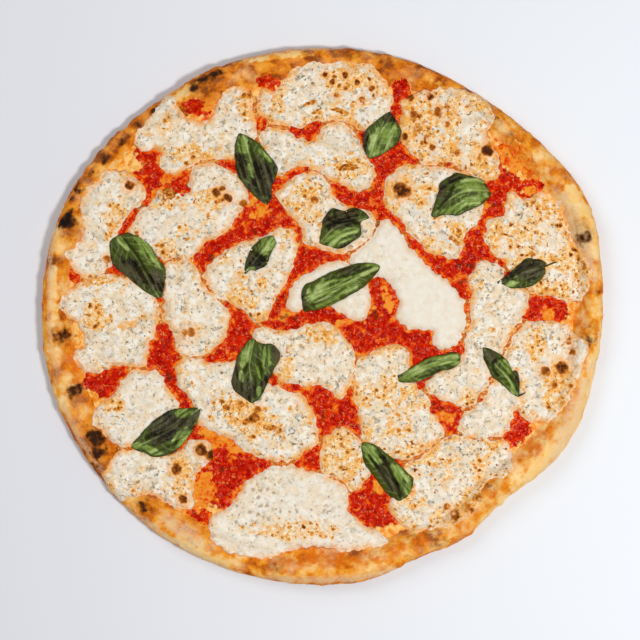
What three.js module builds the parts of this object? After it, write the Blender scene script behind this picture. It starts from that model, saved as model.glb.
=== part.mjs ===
// A whole margherita pizza: a round of dough with a puffed rim, a layer of tomato sauce,
// melted slices of mozzarella with seams of sauce between them, and fresh basil leaves.
// Millimetres, +Z up. It lies on z = 0, and the origin is under the middle of its box.
import * as THREE from 'three';

// ---- The whole pizza --------------------------------------------------------------------
const PIZZA_WIDTH = 397; // along X
const PIZZA_DEPTH = 380; // along Y

// ---- Dough ------------------------------------------------------------------------------
const FLOOR_THICKNESS = 4.5; // dough under the toppings
const RIM_HEIGHT = 15.5; // crest of the puffed rim, without its bubbles
const RIM_WIDTH = 26; // outer edge to the foot of the inner slope
const CREST_SHARE = 0.38; // where the crest lies across the rim's width
const BELLY_SHARE = 0.42; // height of the widest line, as a share of the rim's height
const FOOT_INSET = 8; // how far the edge curls in to where it touches the ground
const RIM_SEGMENTS = 120;
const RIM_TOP_RINGS = [0, 0.05, 0.15, 0.27, CREST_SHARE, 0.5, 0.62, 0.74, 0.87, 1];
const RIM_SIDE_STEPS = 3;

// Bulges and dents of the outer edge: [direction in degrees, height, spread in degrees].
const EDGE_BULGES = [
  [24, 7, 12],
  [56, -1.2, 10],
  [128, -1.8, 9],
  [158, 2, 12],
  [212, -1.4, 10],
  [292, -7, 9],
  [314, -11.5, 12],
  [350, -2, 10],
];

// Where the rim is wider or narrower than RIM_WIDTH: [direction, extra width, spread].
const WIDTH_SWELLS = [
  [8, -5, 12],
  [57, -12, 13],
  [90, -5, 12],
  [116, 3, 7],
  [138, -10, 13],
  [165, -3, 8],
  [182, -4, 9],
  [200, 3, 8],
  [219, -7, 8],
  [245, 4, 12],
  [275, 3, 14],
  [325, 4, 12],
];

// Where the rim stands higher or lower than RIM_HEIGHT: [direction, extra height, spread].
const HEIGHT_SWELLS = [
  [20, 1.8, 16],
  [57, -5, 13],
  [90, -1.5, 10],
  [116, 2, 7],
  [138, -4.5, 13],
  [163, 1.2, 8],
  [219, -4, 9],
  [240, 2, 10],
  [278, 1, 10],
  [322, 2.5, 14],
];

// Bubbles baked into the rim: [direction in degrees, distance in from the edge, radius, height].
const BUBBLES = [
  [1, 11, 9, 1.6],
  [17, 12, 11, 2],
  [47, 8, 11, 1.8],
  [84, 8, 12, 1.2],
  [125, 15, 13, 2.4],
  [138, 9, 10, 1.4],
  [160, 11, 11, 2.6],
  [184, 12, 10, 1.8],
  [208, 12, 11, 1.8],
  [228, 10, 9, 1.2],
  [262, 13, 12, 1.4],
  [296, 11, 12, 2],
  [313, 13, 10, 2.4],
  [352, 12, 10, 1.6],
];

// ---- Sauce ------------------------------------------------------------------------------
const GAP = 0.3; // left between pieces that lie on each other
const SAUCE_THICKNESS = 1.5;
const SAUCE_INSET = 1.5; // from the foot of the rim's inner slope
const SAUCE_SEGMENTS = 96;
const SAUCE_TOP = FLOOR_THICKNESS + GAP + SAUCE_THICKNESS;

// ---- Mozzarella -------------------------------------------------------------------------
const CHEESE_THICKNESS = 3.2; // in the middle of a melted slice
const CHEESE_EDGE = 1.1; // at its edge
const CHEESE_ROUNDING = 9; // how far in from its edge a slice reaches full thickness
const CHEESE_SPREAD = [0.85, 1.2]; // thinnest and thickest slice, as shares of that thickness
const SEAM = 1.2; // sauce left at least between slices that ran together
const CHEESE_STEP = 8; // spacing of the surface points
const OUTLINE_STEPS = 5; // straight steps from one outline point to the next
const RIM_GAP = 0.5; // under a slice that climbs the rim

// Where a triangle is tested against what it lies on, as shares of its three corners.
const TRIANGLE_SAMPLES = [
  [0.34, 0.33, 0.33],
  [0.5, 0.5, 0],
  [0, 0.5, 0.5],
  [0.5, 0, 0.5],
  [0.66, 0.17, 0.17],
  [0.17, 0.66, 0.17],
  [0.17, 0.17, 0.66],
];
const SETTLING_PASSES = 8;

// The melted slices, each by the few points [x, y] that its soft outline runs through.
const SLICES = {
  north_west: [
    [-107, 155], [-98, 141], [-80, 139], [-70, 157], [-52, 161], [-51, 144], [-47, 127],
    [-62, 112], [-86, 112], [-99, 102], [-115, 108], [-113, 117], [-132, 120], [-121, 141],
  ],
  north: [
    [-46, 158], [-32, 159], [-22, 172], [9, 179], [38, 174], [46, 158],
    [48, 144], [29, 131], [20, 138], [0, 139], [-19, 135], [-40, 139],
  ],
  north_inner: [
    [-42, 133], [-28, 131], [-13, 124], [-5, 124], [2, 135], [18, 134], [28, 118],
    [36, 101], [31, 91], [19, 90], [-3, 104], [-17, 106], [-34, 100], [-42, 116],
  ],
  north_east: [
    [57, 152], [70, 158], [92, 160], [114, 152], [119, 141], [116, 130], [120, 118],
    [125, 100], [113, 97], [87, 110], [77, 106], [56, 125], [55, 139],
  ],
  east_inner: [
    [47, 98], [59, 106], [98, 101], [113, 88], [108, 66],
    [100, 59], [98, 44], [80, 44], [57, 66], [45, 82],
  ],
  east: [
    [129, 88], [142, 82], [158, 86], [168, 77], [177, 50], [187, 35], [183, 13],
    [162, 14], [145, 20], [129, 38], [118, 49], [117, 66], [129, 74],
  ],
  east_lower: [
    [105, 31], [113, 38], [124, 35], [133, 23], [145, 17], [143, 4], [130, -17],
    [118, -43], [103, -65], [90, -60], [72, -50], [81, -39], [97, -31], [105, 3],
  ],
  centre_right: [
    [43, 68], [53, 60], [70, 38], [94, 19], [101, 2], [95, -18], [86, -24], [78, -20],
    [78, -9], [65, -10], [54, -3], [56, 9], [48, 24], [28, 33], [20, 40], [37, 58],
  ],
  centre: [
    [-26, 10], [-17, 24], [7, 39], [18, 36], [31, 23],
    [30, -1], [19, 0], [8, 6], [-7, 9], [-23, 3],
  ],
  centre_top: [
    [-32, 84], [-23, 96], [-6, 102], [13, 79], [36, 70],
    [35, 58], [19, 46], [4, 46], [-15, 56], [-16, 65],
  ],
  centre_left: [
    [-83, 31], [-65, 48], [-43, 57], [-20, 60], [-19, 48], [-24, 29],
    [-36, 11], [-41, -2], [-49, -2], [-56, 6], [-74, 15],
  ],
  west_inner: [
    [-111, 36], [-100, 40], [-89, 37], [-86, 24], [-68, 4], [-66, -8],
    [-82, -26], [-97, -28], [-104, -20], [-103, -12], [-110, -5], [-112, 13],
  ],
  west_upper: [
    [-123, 79], [-111, 90], [-97, 84], [-93, 90], [-95, 100], [-78, 108], [-63, 101],
    [-51, 83], [-62, 71], [-70, 59], [-87, 50], [-92, 43], [-111, 42], [-136, 59],
  ],
  west_rim: [
    [-168, 84], [-162, 93], [-150, 102], [-133, 99], [-126, 87], [-141, 68],
    [-148, 45], [-149, 36], [-168, 28], [-180, 43], [-171, 55],
  ],
  west: [
    [-181, 17], [-168, 25], [-144, 30], [-117, 13], [-116, 0], [-123, -20], [-125, -34],
    [-148, -34], [-162, -40], [-176, -31], [-169, -22], [-168, -11], [-186, 8],
  ],
  south_west: [
    [-139, -43], [-127, -39], [-116, -40], [-111, -50], [-100, -66], [-112, -74],
    [-125, -86], [-140, -91], [-156, -80], [-162, -66], [-145, -55],
  ],
  south_west_rim: [
    [-149, -101], [-138, -94], [-109, -98], [-88, -87], [-77, -95], [-91, -115],
    [-95, -136], [-107, -132], [-124, -124], [-143, -129], [-153, -116],
  ],
  south_west_inner: [
    [-101, -33], [-91, -29], [-78, -34], [-64, -32], [-36, -49], [-15, -57], [-4, -75],
    [-6, -91], [-26, -102], [-54, -95], [-66, -85], [-87, -75], [-91, -64], [-101, -46],
  ],
  south_centre: [
    [-50, -15], [-43, -8], [-24, -12], [-7, -5], [8, -9], [22, -29],
    [19, -47], [14, -58], [0, -48], [-14, -49], [-34, -42], [-31, -25],
  ],
  south_east_inner: [
    [26, -31], [55, -21], [61, -28], [60, -42], [74, -57], [77, -69],
    [87, -80], [72, -94], [55, -101], [28, -86], [26, -67], [22, -50],
  ],
  south_east_rim: [
    [133, -20], [141, -7], [152, -4], [173, -7], [184, -22], [180, -44], [168, -66],
    [154, -76], [138, -69], [125, -84], [97, -81], [99, -71], [115, -57],
  ],
  south_east: [
    [126, -88], [136, -103], [126, -112], [113, -116], [109, -132], [97, -143], [60, -150],
    [48, -133], [55, -121], [58, -107], [74, -97], [91, -84], [108, -88],
  ],
  south: [
    [-28, -105], [0, -113], [17, -121], [18, -138], [33, -150], [53, -155], [26, -164],
    [-12, -163], [-43, -169], [-74, -159], [-79, -143], [-61, -131], [-58, -121], [-43, -110],
  ],
  south_inner: [
    [0, -93], [6, -83], [15, -79], [26, -87], [35, -106],
    [26, -119], [20, -124], [16, -116], [-1, -107],
  ],
};

// ---- Basil ------------------------------------------------------------------------------
const LEAF_THICKNESS = 0.6;
const LEAF_LIFT = 0.5; // above the highest topping under it
const LEAF_REACH = 3; // how far round a point the toppings bear it
const LEAF_ROWS = 9; // along the midrib
const LEAF_COLUMNS = 5; // across
const STEM_HALF_WIDTH = 0.8;
const WIDEST_SHARE = 0.42; // where an even leaf is widest, from its base
const LEAF_FULLNESS = 0.65; // how blunt an even leaf's ends are: 1 is pointed, 0 is square

// midrib: from the base to the tip. dome: how far the middle stands above the edges.
// fold: depth of the crease along the midrib. wave: ripple of the edges.
// stem: share of the midrib that is a bare stalk.
const LEAVES = {
  west: {
    midrib: [[-145, 59], [-131, 38], [-113, 13]],
    width: 27, dome: 3, fold: 1.2, wave: 0.8,
  },
  north_west: {
    midrib: [[-39, 80], [-47, 105], [-57, 130]],
    width: 26, dome: 3, fold: 1.2, wave: 0.8,
  },
  centre_left: {
    midrib: [[-55, 31], [-45, 43], [-34, 57]],
    width: 13, dome: 2.4, fold: 0.8, wave: 0.4,
  },
  north: {
    midrib: [[34, 111], [42, 127], [50, 144]],
    width: 25, dome: 3, fold: 0.8, wave: 0.7,
  },
  east_inner: {
    midrib: [[119, 88], [98, 86], [78, 71]],
    width: 28, dome: 4, fold: 1, wave: 0.9,
  },
  east: {
    midrib: [[168, 40], [142, 30], [124, 22]],
    width: 19, dome: 2, fold: 0.8, wave: 0.6, stem: 0.2,
  },
  centre_top: {
    midrib: [[34, 67], [16, 62], [-3, 58]],
    width: 29, dome: 4, fold: 2.6, wave: 1, fullness: 0.5,
  },
  centre: {
    midrib: [[-14, 11], [12, 21], [40, 35]],
    width: 21, dome: 4, fold: 0.8, wave: 1, widest: 0.3, fullness: 0.4,
  },
  south_west: {
    midrib: [[-86, -65], [-109, -83], [-135, -93]],
    width: 26, dome: 3, fold: 1, wave: 1,
  },
  south_centre: {
    midrib: [[-46, -16], [-48, -38], [-51, -61]],
    width: 33, dome: 3, fold: 1.4, wave: 0.8, widest: 0.4,
  },
  south: {
    midrib: [[59, -127], [46, -110], [31, -91]],
    width: 21, dome: 4, fold: 2.4, wave: 0.6, fullness: 0.32,
  },
  south_east_inner: {
    midrib: [[97, -31], [75, -37], [54, -45]],
    width: 12, dome: 4, fold: 0.4, wave: 0.3, widest: 0.3, fullness: 0.4,
  },
  south_east: {
    midrib: [[147, -49], [138, -55], [127, -40], [114, -22]],
    width: 14, dome: 3, fold: 1, wave: 0.5, stem: 0.2,
  },
};

// ---- Finishes ---------------------------------------------------------------------------
const FINISHES = {
  crust: { color: 0xe0a760, roughness: 0.72 },
  sauce: { color: 0xc8330f, roughness: 0.3 },
  mozzarella: { color: 0xeee4cf, roughness: 0.45 },
  basil: { color: 0x4a7a2c, roughness: 0.4 },
};

// ---- Small helpers ----------------------------------------------------------------------
const radians = THREE.MathUtils.degToRad;
const clamp = THREE.MathUtils.clamp;
const lerp = THREE.MathUtils.lerp;

/** A soft bell that is 1 at 0 and fades out by about 2. */
function bell(distance) {
  return Math.exp(-distance * distance);
}

/** The smaller angle between two directions, in degrees. */
function angleBetween(a, b) {
  const turn = (((a - b) % 360) + 540) % 360 - 180;
  return Math.abs(turn);
}

/** Sum of the swells [direction, size, spread] in one direction. */
function swellAt(swells, degrees) {
  let sum = 0;
  for (const [direction, size, spread] of swells) {
    sum += size * bell(angleBetween(degrees, direction) / spread);
  }
  return sum;
}

/** A named mesh from points [x, y, z] and triangles of point numbers. */
function meshOf(name, points, triangles, finish) {
  const geometry = new THREE.BufferGeometry();
  geometry.setAttribute('position', new THREE.Float32BufferAttribute(points.flat(), 3));
  geometry.setIndex(triangles.flat());
  geometry.computeVertexNormals();
  const mesh = new THREE.Mesh(geometry, new THREE.MeshStandardMaterial({ ...FINISHES[finish] }));
  mesh.name = name;
  return mesh;
}

// ---- Outline of the dough ---------------------------------------------------------------
/** Distance from the origin to the uneven edge before it is centred, in one direction. */
function roughEdge(degrees) {
  const across = Math.cos(radians(degrees)) / (PIZZA_WIDTH / 2);
  const along = Math.sin(radians(degrees)) / (PIZZA_DEPTH / 2);
  return 1 / Math.hypot(across, along) + swellAt(EDGE_BULGES, degrees);
}

/** Scale and shift that give the uneven outline exactly the pizza's width and depth. */
function edgeFit() {
  const box = new THREE.Box2();
  for (let i = 0; i < RIM_SEGMENTS; i += 1) {
    const degrees = (360 * i) / RIM_SEGMENTS;
    const turn = radians(degrees);
    const radius = roughEdge(degrees);
    box.expandByPoint(new THREE.Vector2(radius * Math.cos(turn), radius * Math.sin(turn)));
  }
  const size = box.getSize(new THREE.Vector2());
  const middle = box.getCenter(new THREE.Vector2());
  return { scale: [PIZZA_WIDTH / size.x, PIZZA_DEPTH / size.y], middle };
}

const FIT = edgeFit();

/** Point of the dough at a direction, a distance in from its edge. */
function doughPoint(degrees, inset) {
  const turn = radians(degrees);
  const radius = roughEdge(degrees) - inset;
  const x = (radius * Math.cos(turn) - FIT.middle.x) * FIT.scale[0];
  const y = (radius * Math.sin(turn) - FIT.middle.y) * FIT.scale[1];
  return [x, y];
}

/** Direction of a point and its distance in from the edge: the inverse of doughPoint. */
function edgePlace(x, y) {
  const roughX = x / FIT.scale[0] + FIT.middle.x;
  const roughY = y / FIT.scale[1] + FIT.middle.y;
  const degrees = THREE.MathUtils.radToDeg(Math.atan2(roughY, roughX));
  return [degrees, roughEdge(degrees) - Math.hypot(roughX, roughY)];
}

// ---- Dough ------------------------------------------------------------------------------
function rimWidth(degrees) {
  return RIM_WIDTH + swellAt(WIDTH_SWELLS, degrees);
}

function rimHeight(degrees) {
  return RIM_HEIGHT + swellAt(HEIGHT_SWELLS, degrees);
}

/** Height that the bubbles add at a point. */
function bubbleHeight(x, y) {
  let height = 0;
  for (const [direction, inset, radius, rise] of BUBBLES) {
    const [centreX, centreY] = doughPoint(direction, inset);
    height += rise * bell(Math.hypot(x - centreX, y - centreY) / (0.6 * radius));
  }
  return height;
}

/** Top of the dough: the rim rises steeply from its belly, crests, and slopes to the floor. */
function doughTop(x, y) {
  const [degrees, inset] = edgePlace(x, y);
  const height = rimHeight(degrees);
  const share = inset / rimWidth(degrees);
  if (share >= 1) {
    return FLOOR_THICKNESS;
  }
  if (share < CREST_SHARE) {
    const belly = height * BELLY_SHARE;
    const climb = Math.sqrt(1 - (1 - Math.max(share, 0) / CREST_SHARE) ** 2);
    return belly + (height - belly) * climb + bubbleHeight(x, y) * climb;
  }
  const fall = 0.5 + 0.5 * Math.cos((Math.PI * (share - CREST_SHARE)) / (1 - CREST_SHARE));
  return FLOOR_THICKNESS + (height - FLOOR_THICKNESS + bubbleHeight(x, y)) * fall;
}

/** Rings of points joined into one closed skin, capped by a middle point at each end. */
function skinOfRings(name, rings, firstMiddle, lastMiddle, finish) {
  const count = rings[0].length;
  const points = [firstMiddle, ...rings.flat(), lastMiddle];
  const last = points.length - 1;
  const triangles = [];
  for (let i = 0; i < count; i += 1) {
    const next = (i + 1) % count;
    triangles.push([0, 1 + next, 1 + i]);
    for (let ring = 0; ring + 1 < rings.length; ring += 1) {
      const low = 1 + ring * count;
      const high = low + count;
      triangles.push([low + i, low + next, high + next], [low + i, high + next, high + i]);
    }
    triangles.push([last - count + i, last - count + next, last]);
  }
  return meshOf(name, points, triangles, finish);
}

function makeDough() {
  const rings = [];
  const ringOf = (place) => Array.from({ length: RIM_SEGMENTS }, (_, i) => (
    place((360 * i) / RIM_SEGMENTS)
  ));
  for (let step = 0; step < RIM_SIDE_STEPS; step += 1) {
    const turn = (Math.PI / 2) * (step / RIM_SIDE_STEPS);
    rings.push(ringOf((degrees) => {
      const inset = FOOT_INSET * (1 - Math.sin(turn));
      const belly = rimHeight(degrees) * BELLY_SHARE;
      return [...doughPoint(degrees, inset), belly * (1 - Math.cos(turn))];
    }));
  }
  for (const share of RIM_TOP_RINGS) {
    rings.push(ringOf((degrees) => {
      const [x, y] = doughPoint(degrees, share * rimWidth(degrees));
      return [x, y, share === 1 ? FLOOR_THICKNESS : doughTop(x, y)];
    }));
  }
  return skinOfRings('crust', rings, [0, 0, 0], [0, 0, FLOOR_THICKNESS], 'crust');
}

function makeSauce() {
  const bottom = FLOOR_THICKNESS + GAP;
  const ringAt = (inset, z) => Array.from({ length: SAUCE_SEGMENTS }, (_, i) => {
    const degrees = (360 * i) / SAUCE_SEGMENTS;
    return [...doughPoint(degrees, rimWidth(degrees) + SAUCE_INSET + inset), z];
  });
  const rings = [ringAt(0, bottom), ringAt(1, SAUCE_TOP)];
  return skinOfRings('tomato_sauce', rings, [0, 0, bottom], [0, 0, SAUCE_TOP], 'sauce');
}

// ---- Mozzarella -------------------------------------------------------------------------
/** Points of the soft closed outline of each slice. */
const OUTLINES = Object.fromEntries(Object.entries(SLICES).map(([name, corners]) => {
  const points = corners.map(([x, y]) => new THREE.Vector3(x, y, 0));
  const curve = new THREE.CatmullRomCurve3(points, true, 'centripetal');
  return [name, curve.getPoints(corners.length * OUTLINE_STEPS).slice(0, -1)];
}));

/** Signed distance to a closed outline: negative inside. */
function outlineDistance(outline, x, y) {
  let nearest = Infinity;
  let inside = false;
  for (let i = 0; i < outline.length; i += 1) {
    const a = outline[i];
    const b = outline[(i + 1) % outline.length];
    const [edgeX, edgeY] = [b.x - a.x, b.y - a.y];
    const share = clamp(((x - a.x) * edgeX + (y - a.y) * edgeY) / (edgeX ** 2 + edgeY ** 2), 0, 1);
    nearest = Math.min(nearest, Math.hypot(x - a.x - share * edgeX, y - a.y - share * edgeY));
    if (a.y > y !== b.y > y && x < a.x + ((y - a.y) / edgeY) * edgeX) {
      inside = !inside;
    }
  }
  return inside ? -nearest : nearest;
}

/** Signed distance to a slice, cut back where it meets another so that a seam is left. */
function sliceDistance(name, x, y) {
  const own = outlineDistance(OUTLINES[name], x, y);
  let nearest = Infinity;
  for (const [other, outline] of Object.entries(OUTLINES)) {
    if (other !== name) {
      nearest = Math.min(nearest, outlineDistance(outline, x, y));
    }
  }
  return Math.max(own, (own - nearest + SEAM) / 2);
}

/** What bears the mozzarella: the sauce in the well, the dough on the rim. */
function cheeseFloor(x, y) {
  const dough = doughTop(x, y) + RIM_GAP;
  return Math.max(SAUCE_TOP + GAP, dough);
}

/** Thickness of a slice at a depth in from its edge. */
function cheeseThickness(depth, share) {
  const inside = 1 - clamp(depth / CHEESE_ROUNDING, 0, 1);
  return CHEESE_EDGE + (CHEESE_THICKNESS * share - CHEESE_EDGE) * Math.sqrt(1 - inside * inside);
}

/** How thick each slice is, as an even run between the thinnest and the thickest. */
function thicknessShare(name) {
  const names = Object.keys(SLICES);
  const place = ((names.indexOf(name) * 5) % names.length) / (names.length - 1);
  return lerp(CHEESE_SPREAD[0], CHEESE_SPREAD[1], place);
}

/** Flat triangles that fill the region where distance is negative, on a triangular lattice. */
function fillRegion(distance, box, step) {
  const rowHeight = (step * Math.sqrt(3)) / 2;
  const rows = Math.ceil((box.max.y - box.min.y) / rowHeight) + 1;
  const columns = Math.ceil((box.max.x - box.min.x) / step) + 2;
  const at = (row, column) => row * columns + column;
  const points = [];
  for (let row = 0; row < rows; row += 1) {
    for (let column = 0; column < columns; column += 1) {
      const x = box.min.x + (column - (row % 2) / 2) * step;
      const y = box.min.y + row * rowHeight;
      points.push({ x, y, depth: -distance(x, y), shift: Infinity });
    }
  }
  const triangles = [];
  for (let row = 0; row + 1 < rows; row += 1) {
    for (let column = 0; column + 1 < columns; column += 1) {
      const [a, b] = [at(row, column), at(row, column + 1)];
      const [c, d] = [at(row + 1, column), at(row + 1, column + 1)];
      triangles.push(...(row % 2 === 0 ? [[a, b, d], [a, d, c]] : [[a, b, c], [b, d, c]]));
    }
  }
  moveToEdge(points, triangles, distance);
  const inside = (corner) => points[corner].depth >= 0;
  const kept = triangles.filter((corners) => {
    const x = corners.reduce((sum, corner) => sum + points[corner].x, 0) / 3;
    const y = corners.reduce((sum, corner) => sum + points[corner].y, 0) / 3;
    return corners.every(inside) && distance(x, y) < 0;
  });
  return { points, triangles: kept };
}

/** Moves the nearer end of every lattice edge that crosses the outline onto the outline. */
function moveToEdge(points, triangles, distance) {
  const moves = new Map();
  for (const corners of triangles) {
    for (let k = 0; k < 3; k += 1) {
      const [first, second] = [corners[k], corners[(k + 1) % 3]];
      const [a, b] = [points[first], points[second]];
      if (a.depth > 0 === b.depth > 0) {
        continue;
      }
      const share = crossingShare(a, b, distance);
      const [near, far, part] = share < 0.5 ? [first, b, share] : [second, a, 1 - share];
      const start = points[near];
      const shift = part * Math.hypot(far.x - start.x, far.y - start.y);
      if (shift < (moves.get(near)?.shift ?? Infinity)) {
        moves.set(near, { shift, x: lerp(start.x, far.x, part), y: lerp(start.y, far.y, part) });
      }
    }
  }
  for (const [corner, move] of moves) {
    Object.assign(points[corner], { x: move.x, y: move.y, depth: 0 });
  }
}

/** Where the outline crosses the edge from a to b, as a share of its length. */
function crossingShare(a, b, distance) {
  const startsInside = a.depth > 0;
  let [low, high] = [0, 1];
  for (let step = 0; step < 20; step += 1) {
    const middle = (low + high) / 2;
    const inside = distance(lerp(a.x, b.x, middle), lerp(a.y, b.y, middle)) < 0;
    if (inside === startsInside) {
      low = middle;
    } else {
      high = middle;
    }
  }
  return (low + high) / 2;
}

/** Heights of the points over a floor, raised until no triangle dips into it. */
function heightsOver(floor, points, triangles) {
  const heights = points.map((point) => floor(point.x, point.y));
  for (let pass = 0; pass < SETTLING_PASSES; pass += 1) {
    for (const corners of triangles) {
      for (const weights of TRIANGLE_SAMPLES) {
        const mix = (values) => values.reduce((sum, value, k) => sum + value * weights[k], 0);
        const x = mix(corners.map((corner) => points[corner].x));
        const y = mix(corners.map((corner) => points[corner].y));
        const dip = floor(x, y) - mix(corners.map((corner) => heights[corner]));
        const lift = Math.max(dip, 0) / mix(weights);
        corners.forEach((corner, k) => {
          heights[corner] += lift * weights[k];
        });
      }
    }
  }
  return heights;
}

/** A slab over a filled region: the same triangles on top and below, and a wall round it. */
function slabOf(name, region, lower, thickness, finish) {
  const numbers = new Map();
  const below = [];
  const above = [];
  for (const corner of new Set(region.triangles.flat())) {
    const point = region.points[corner];
    numbers.set(corner, below.length);
    below.push([point.x, point.y, lower[corner]]);
    above.push([point.x, point.y, lower[corner] + thickness(point.depth)]);
  }
  const count = below.length;
  const triangles = [];
  const openEdges = new Map(); // edges of one triangle only, which the wall closes
  for (const corners of region.triangles) {
    const [a, b, c] = corners.map((corner) => numbers.get(corner));
    triangles.push([a + count, b + count, c + count], [a, c, b]);
    for (const [start, end] of [[a, b], [b, c], [c, a]]) {
      const key = `${Math.min(start, end)} ${Math.max(start, end)}`;
      if (openEdges.has(key)) {
        openEdges.delete(key);
      } else {
        openEdges.set(key, [start, end]);
      }
    }
  }
  for (const [start, end] of openEdges.values()) {
    triangles.push([start, end, end + count], [start, end + count, start + count]);
  }
  return meshOf(name, [...below, ...above], triangles, finish);
}

function makeSlice(name) {
  const box = new THREE.Box2().setFromPoints(OUTLINES[name]).expandByScalar(CHEESE_STEP);
  const share = thicknessShare(name);
  const region = fillRegion((x, y) => sliceDistance(name, x, y), box, CHEESE_STEP);
  const lower = heightsOver(cheeseFloor, region.points, region.triangles);
  const thickness = (depth) => cheeseThickness(depth, share);
  return slabOf(`mozzarella_${name}`, region, lower, thickness, 'mozzarella');
}

/** Top of whatever lies at a point, before the basil. */
function toppingTop(x, y) {
  for (const name of Object.keys(SLICES)) {
    const depth = -sliceDistance(name, x, y);
    if (depth > 0) {
      return cheeseFloor(x, y) + cheeseThickness(depth, thicknessShare(name));
    }
  }
  return Math.max(SAUCE_TOP, doughTop(x, y));
}

// ---- Basil ------------------------------------------------------------------------------
/** Height that bears a leaf at a point: the highest topping just round it. */
function bearingHeight(x, y) {
  let height = toppingTop(x, y);
  for (let step = 0; step < 8; step += 1) {
    const turn = (Math.PI / 4) * step;
    const [aside, along] = [LEAF_REACH * Math.cos(turn), LEAF_REACH * Math.sin(turn)];
    height = Math.max(height, toppingTop(x + aside, y + along));
  }
  return height;
}

/** Half width of a leaf at a share of its midrib, from the base to the tip. */
function leafHalfWidth(leaf, share) {
  const stem = leaf.stem ?? 0;
  const blade = clamp((share - stem) / (1 - stem), 0, 1);
  const skew = Math.log(0.5) / Math.log(leaf.widest ?? WIDEST_SHARE);
  const oval = Math.sin(Math.PI * blade ** skew) ** (leaf.fullness ?? LEAF_FULLNESS);
  return Math.max(STEM_HALF_WIDTH, (leaf.width / 2) * oval);
}

function makeLeaf(name) {
  const leaf = LEAVES[name];
  const midrib = new THREE.SplineCurve(leaf.midrib.map(([x, y]) => new THREE.Vector2(x, y)));
  const top = [];
  for (let row = 0; row < LEAF_ROWS; row += 1) {
    const share = row / (LEAF_ROWS - 1);
    const middle = midrib.getPointAt(share);
    const along = midrib.getTangentAt(share);
    const halfWidth = leafHalfWidth(leaf, share);
    const fullness = halfWidth / (leaf.width / 2);
    for (let column = 0; column < LEAF_COLUMNS; column += 1) {
      const side = (2 * column) / (LEAF_COLUMNS - 1) - 1;
      const x = middle.x - along.y * side * halfWidth;
      const y = middle.y + along.x * side * halfWidth;
      const dome = leaf.dome * (1 - side * side) * fullness;
      const crease = leaf.fold * bell(side / 0.35) * fullness;
      const ripple = leaf.wave * Math.abs(side) * (1 + Math.sin(share * 14 + side * 2));
      const rest = bearingHeight(x, y) + LEAF_LIFT + LEAF_THICKNESS;
      top.push([x, y, rest + dome - crease + ripple]);
    }
  }
  return leafShell(`basil_${name}`, top);
}

/** A thin closed leaf from its upper points, with both faces split alike. */
function leafShell(name, top) {
  const count = top.length;
  const below = top.map(([x, y, z]) => [x, y, z - LEAF_THICKNESS]);
  const at = (row, column) => row * LEAF_COLUMNS + column;
  const triangles = [];
  const addWall = (a, b) => triangles.push([a, a + count, b + count], [a, b + count, b]);
  for (let row = 0; row + 1 < LEAF_ROWS; row += 1) {
    for (let column = 0; column + 1 < LEAF_COLUMNS; column += 1) {
      const [a, b] = [at(row, column), at(row + 1, column)];
      const [c, d] = [at(row + 1, column + 1), at(row, column + 1)];
      for (const [first, second, third] of [[a, b, c], [a, c, d]]) {
        triangles.push([first, second, third], [first + count, third + count, second + count]);
      }
    }
    addWall(at(row, 0), at(row + 1, 0));
    addWall(at(row + 1, LEAF_COLUMNS - 1), at(row, LEAF_COLUMNS - 1));
  }
  for (let column = 0; column + 1 < LEAF_COLUMNS; column += 1) {
    addWall(at(0, column + 1), at(0, column));
    addWall(at(LEAF_ROWS - 1, column), at(LEAF_ROWS - 1, column + 1));
  }
  return meshOf(name, [...top, ...below], triangles, 'basil');
}

// ---- The pizza --------------------------------------------------------------------------
const pizza = new THREE.Group();
pizza.add(makeDough(), makeSauce());
pizza.add(...Object.keys(SLICES).map(makeSlice));
pizza.add(...Object.keys(LEAVES).map(makeLeaf));

export default pizza;
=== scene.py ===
"""A whole margherita pizza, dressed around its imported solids.

The dough, the sauce, every melted slice of mozzarella and every basil leaf is a finished mesh
that stands for the solid of the same name. Sizes are in millimetres unless a name says
otherwise, and a mesh is turned into metres when it is made.
"""

import logging
import math
from collections.abc import Sequence
from dataclasses import dataclass, field
from enum import Enum
from functools import reduce
from itertools import product

import bpy
import numpy as np
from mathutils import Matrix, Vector
from mathutils.bvhtree import BVHTree
from mathutils.geometry import delaunay_2d_cdt


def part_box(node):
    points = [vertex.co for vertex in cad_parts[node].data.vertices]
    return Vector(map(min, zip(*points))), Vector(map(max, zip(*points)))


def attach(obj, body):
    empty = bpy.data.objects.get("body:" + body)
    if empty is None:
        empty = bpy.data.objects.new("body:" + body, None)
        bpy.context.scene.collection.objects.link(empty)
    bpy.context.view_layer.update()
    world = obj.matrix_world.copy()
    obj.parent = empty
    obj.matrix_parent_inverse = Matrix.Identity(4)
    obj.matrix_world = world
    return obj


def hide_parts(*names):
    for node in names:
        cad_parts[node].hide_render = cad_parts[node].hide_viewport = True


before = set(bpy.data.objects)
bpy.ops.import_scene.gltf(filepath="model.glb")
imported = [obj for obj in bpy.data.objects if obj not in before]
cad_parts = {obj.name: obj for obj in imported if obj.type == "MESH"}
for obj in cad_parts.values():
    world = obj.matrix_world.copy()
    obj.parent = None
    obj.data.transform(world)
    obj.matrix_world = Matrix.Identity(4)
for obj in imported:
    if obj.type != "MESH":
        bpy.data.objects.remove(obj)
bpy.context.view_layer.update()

log = logging.getLogger("pizza")

MM = 0.001  # metres in a millimetre
BODY = "root"
COARSER = 1.0
SKY = 60.0  # a height above everything, from which heights are read
UNCOVERED = 12.0  # how far off a slice is looked for
HAIR = 1e-6  # what counts as one place in a mesh
UPRIGHT = 1e-3  # how much a wall's direction may rise
CUTS = 16  # steps of a curve between two of its knots
BATCH = 4_000_000  # distances worked out at a time, to spare memory

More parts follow.
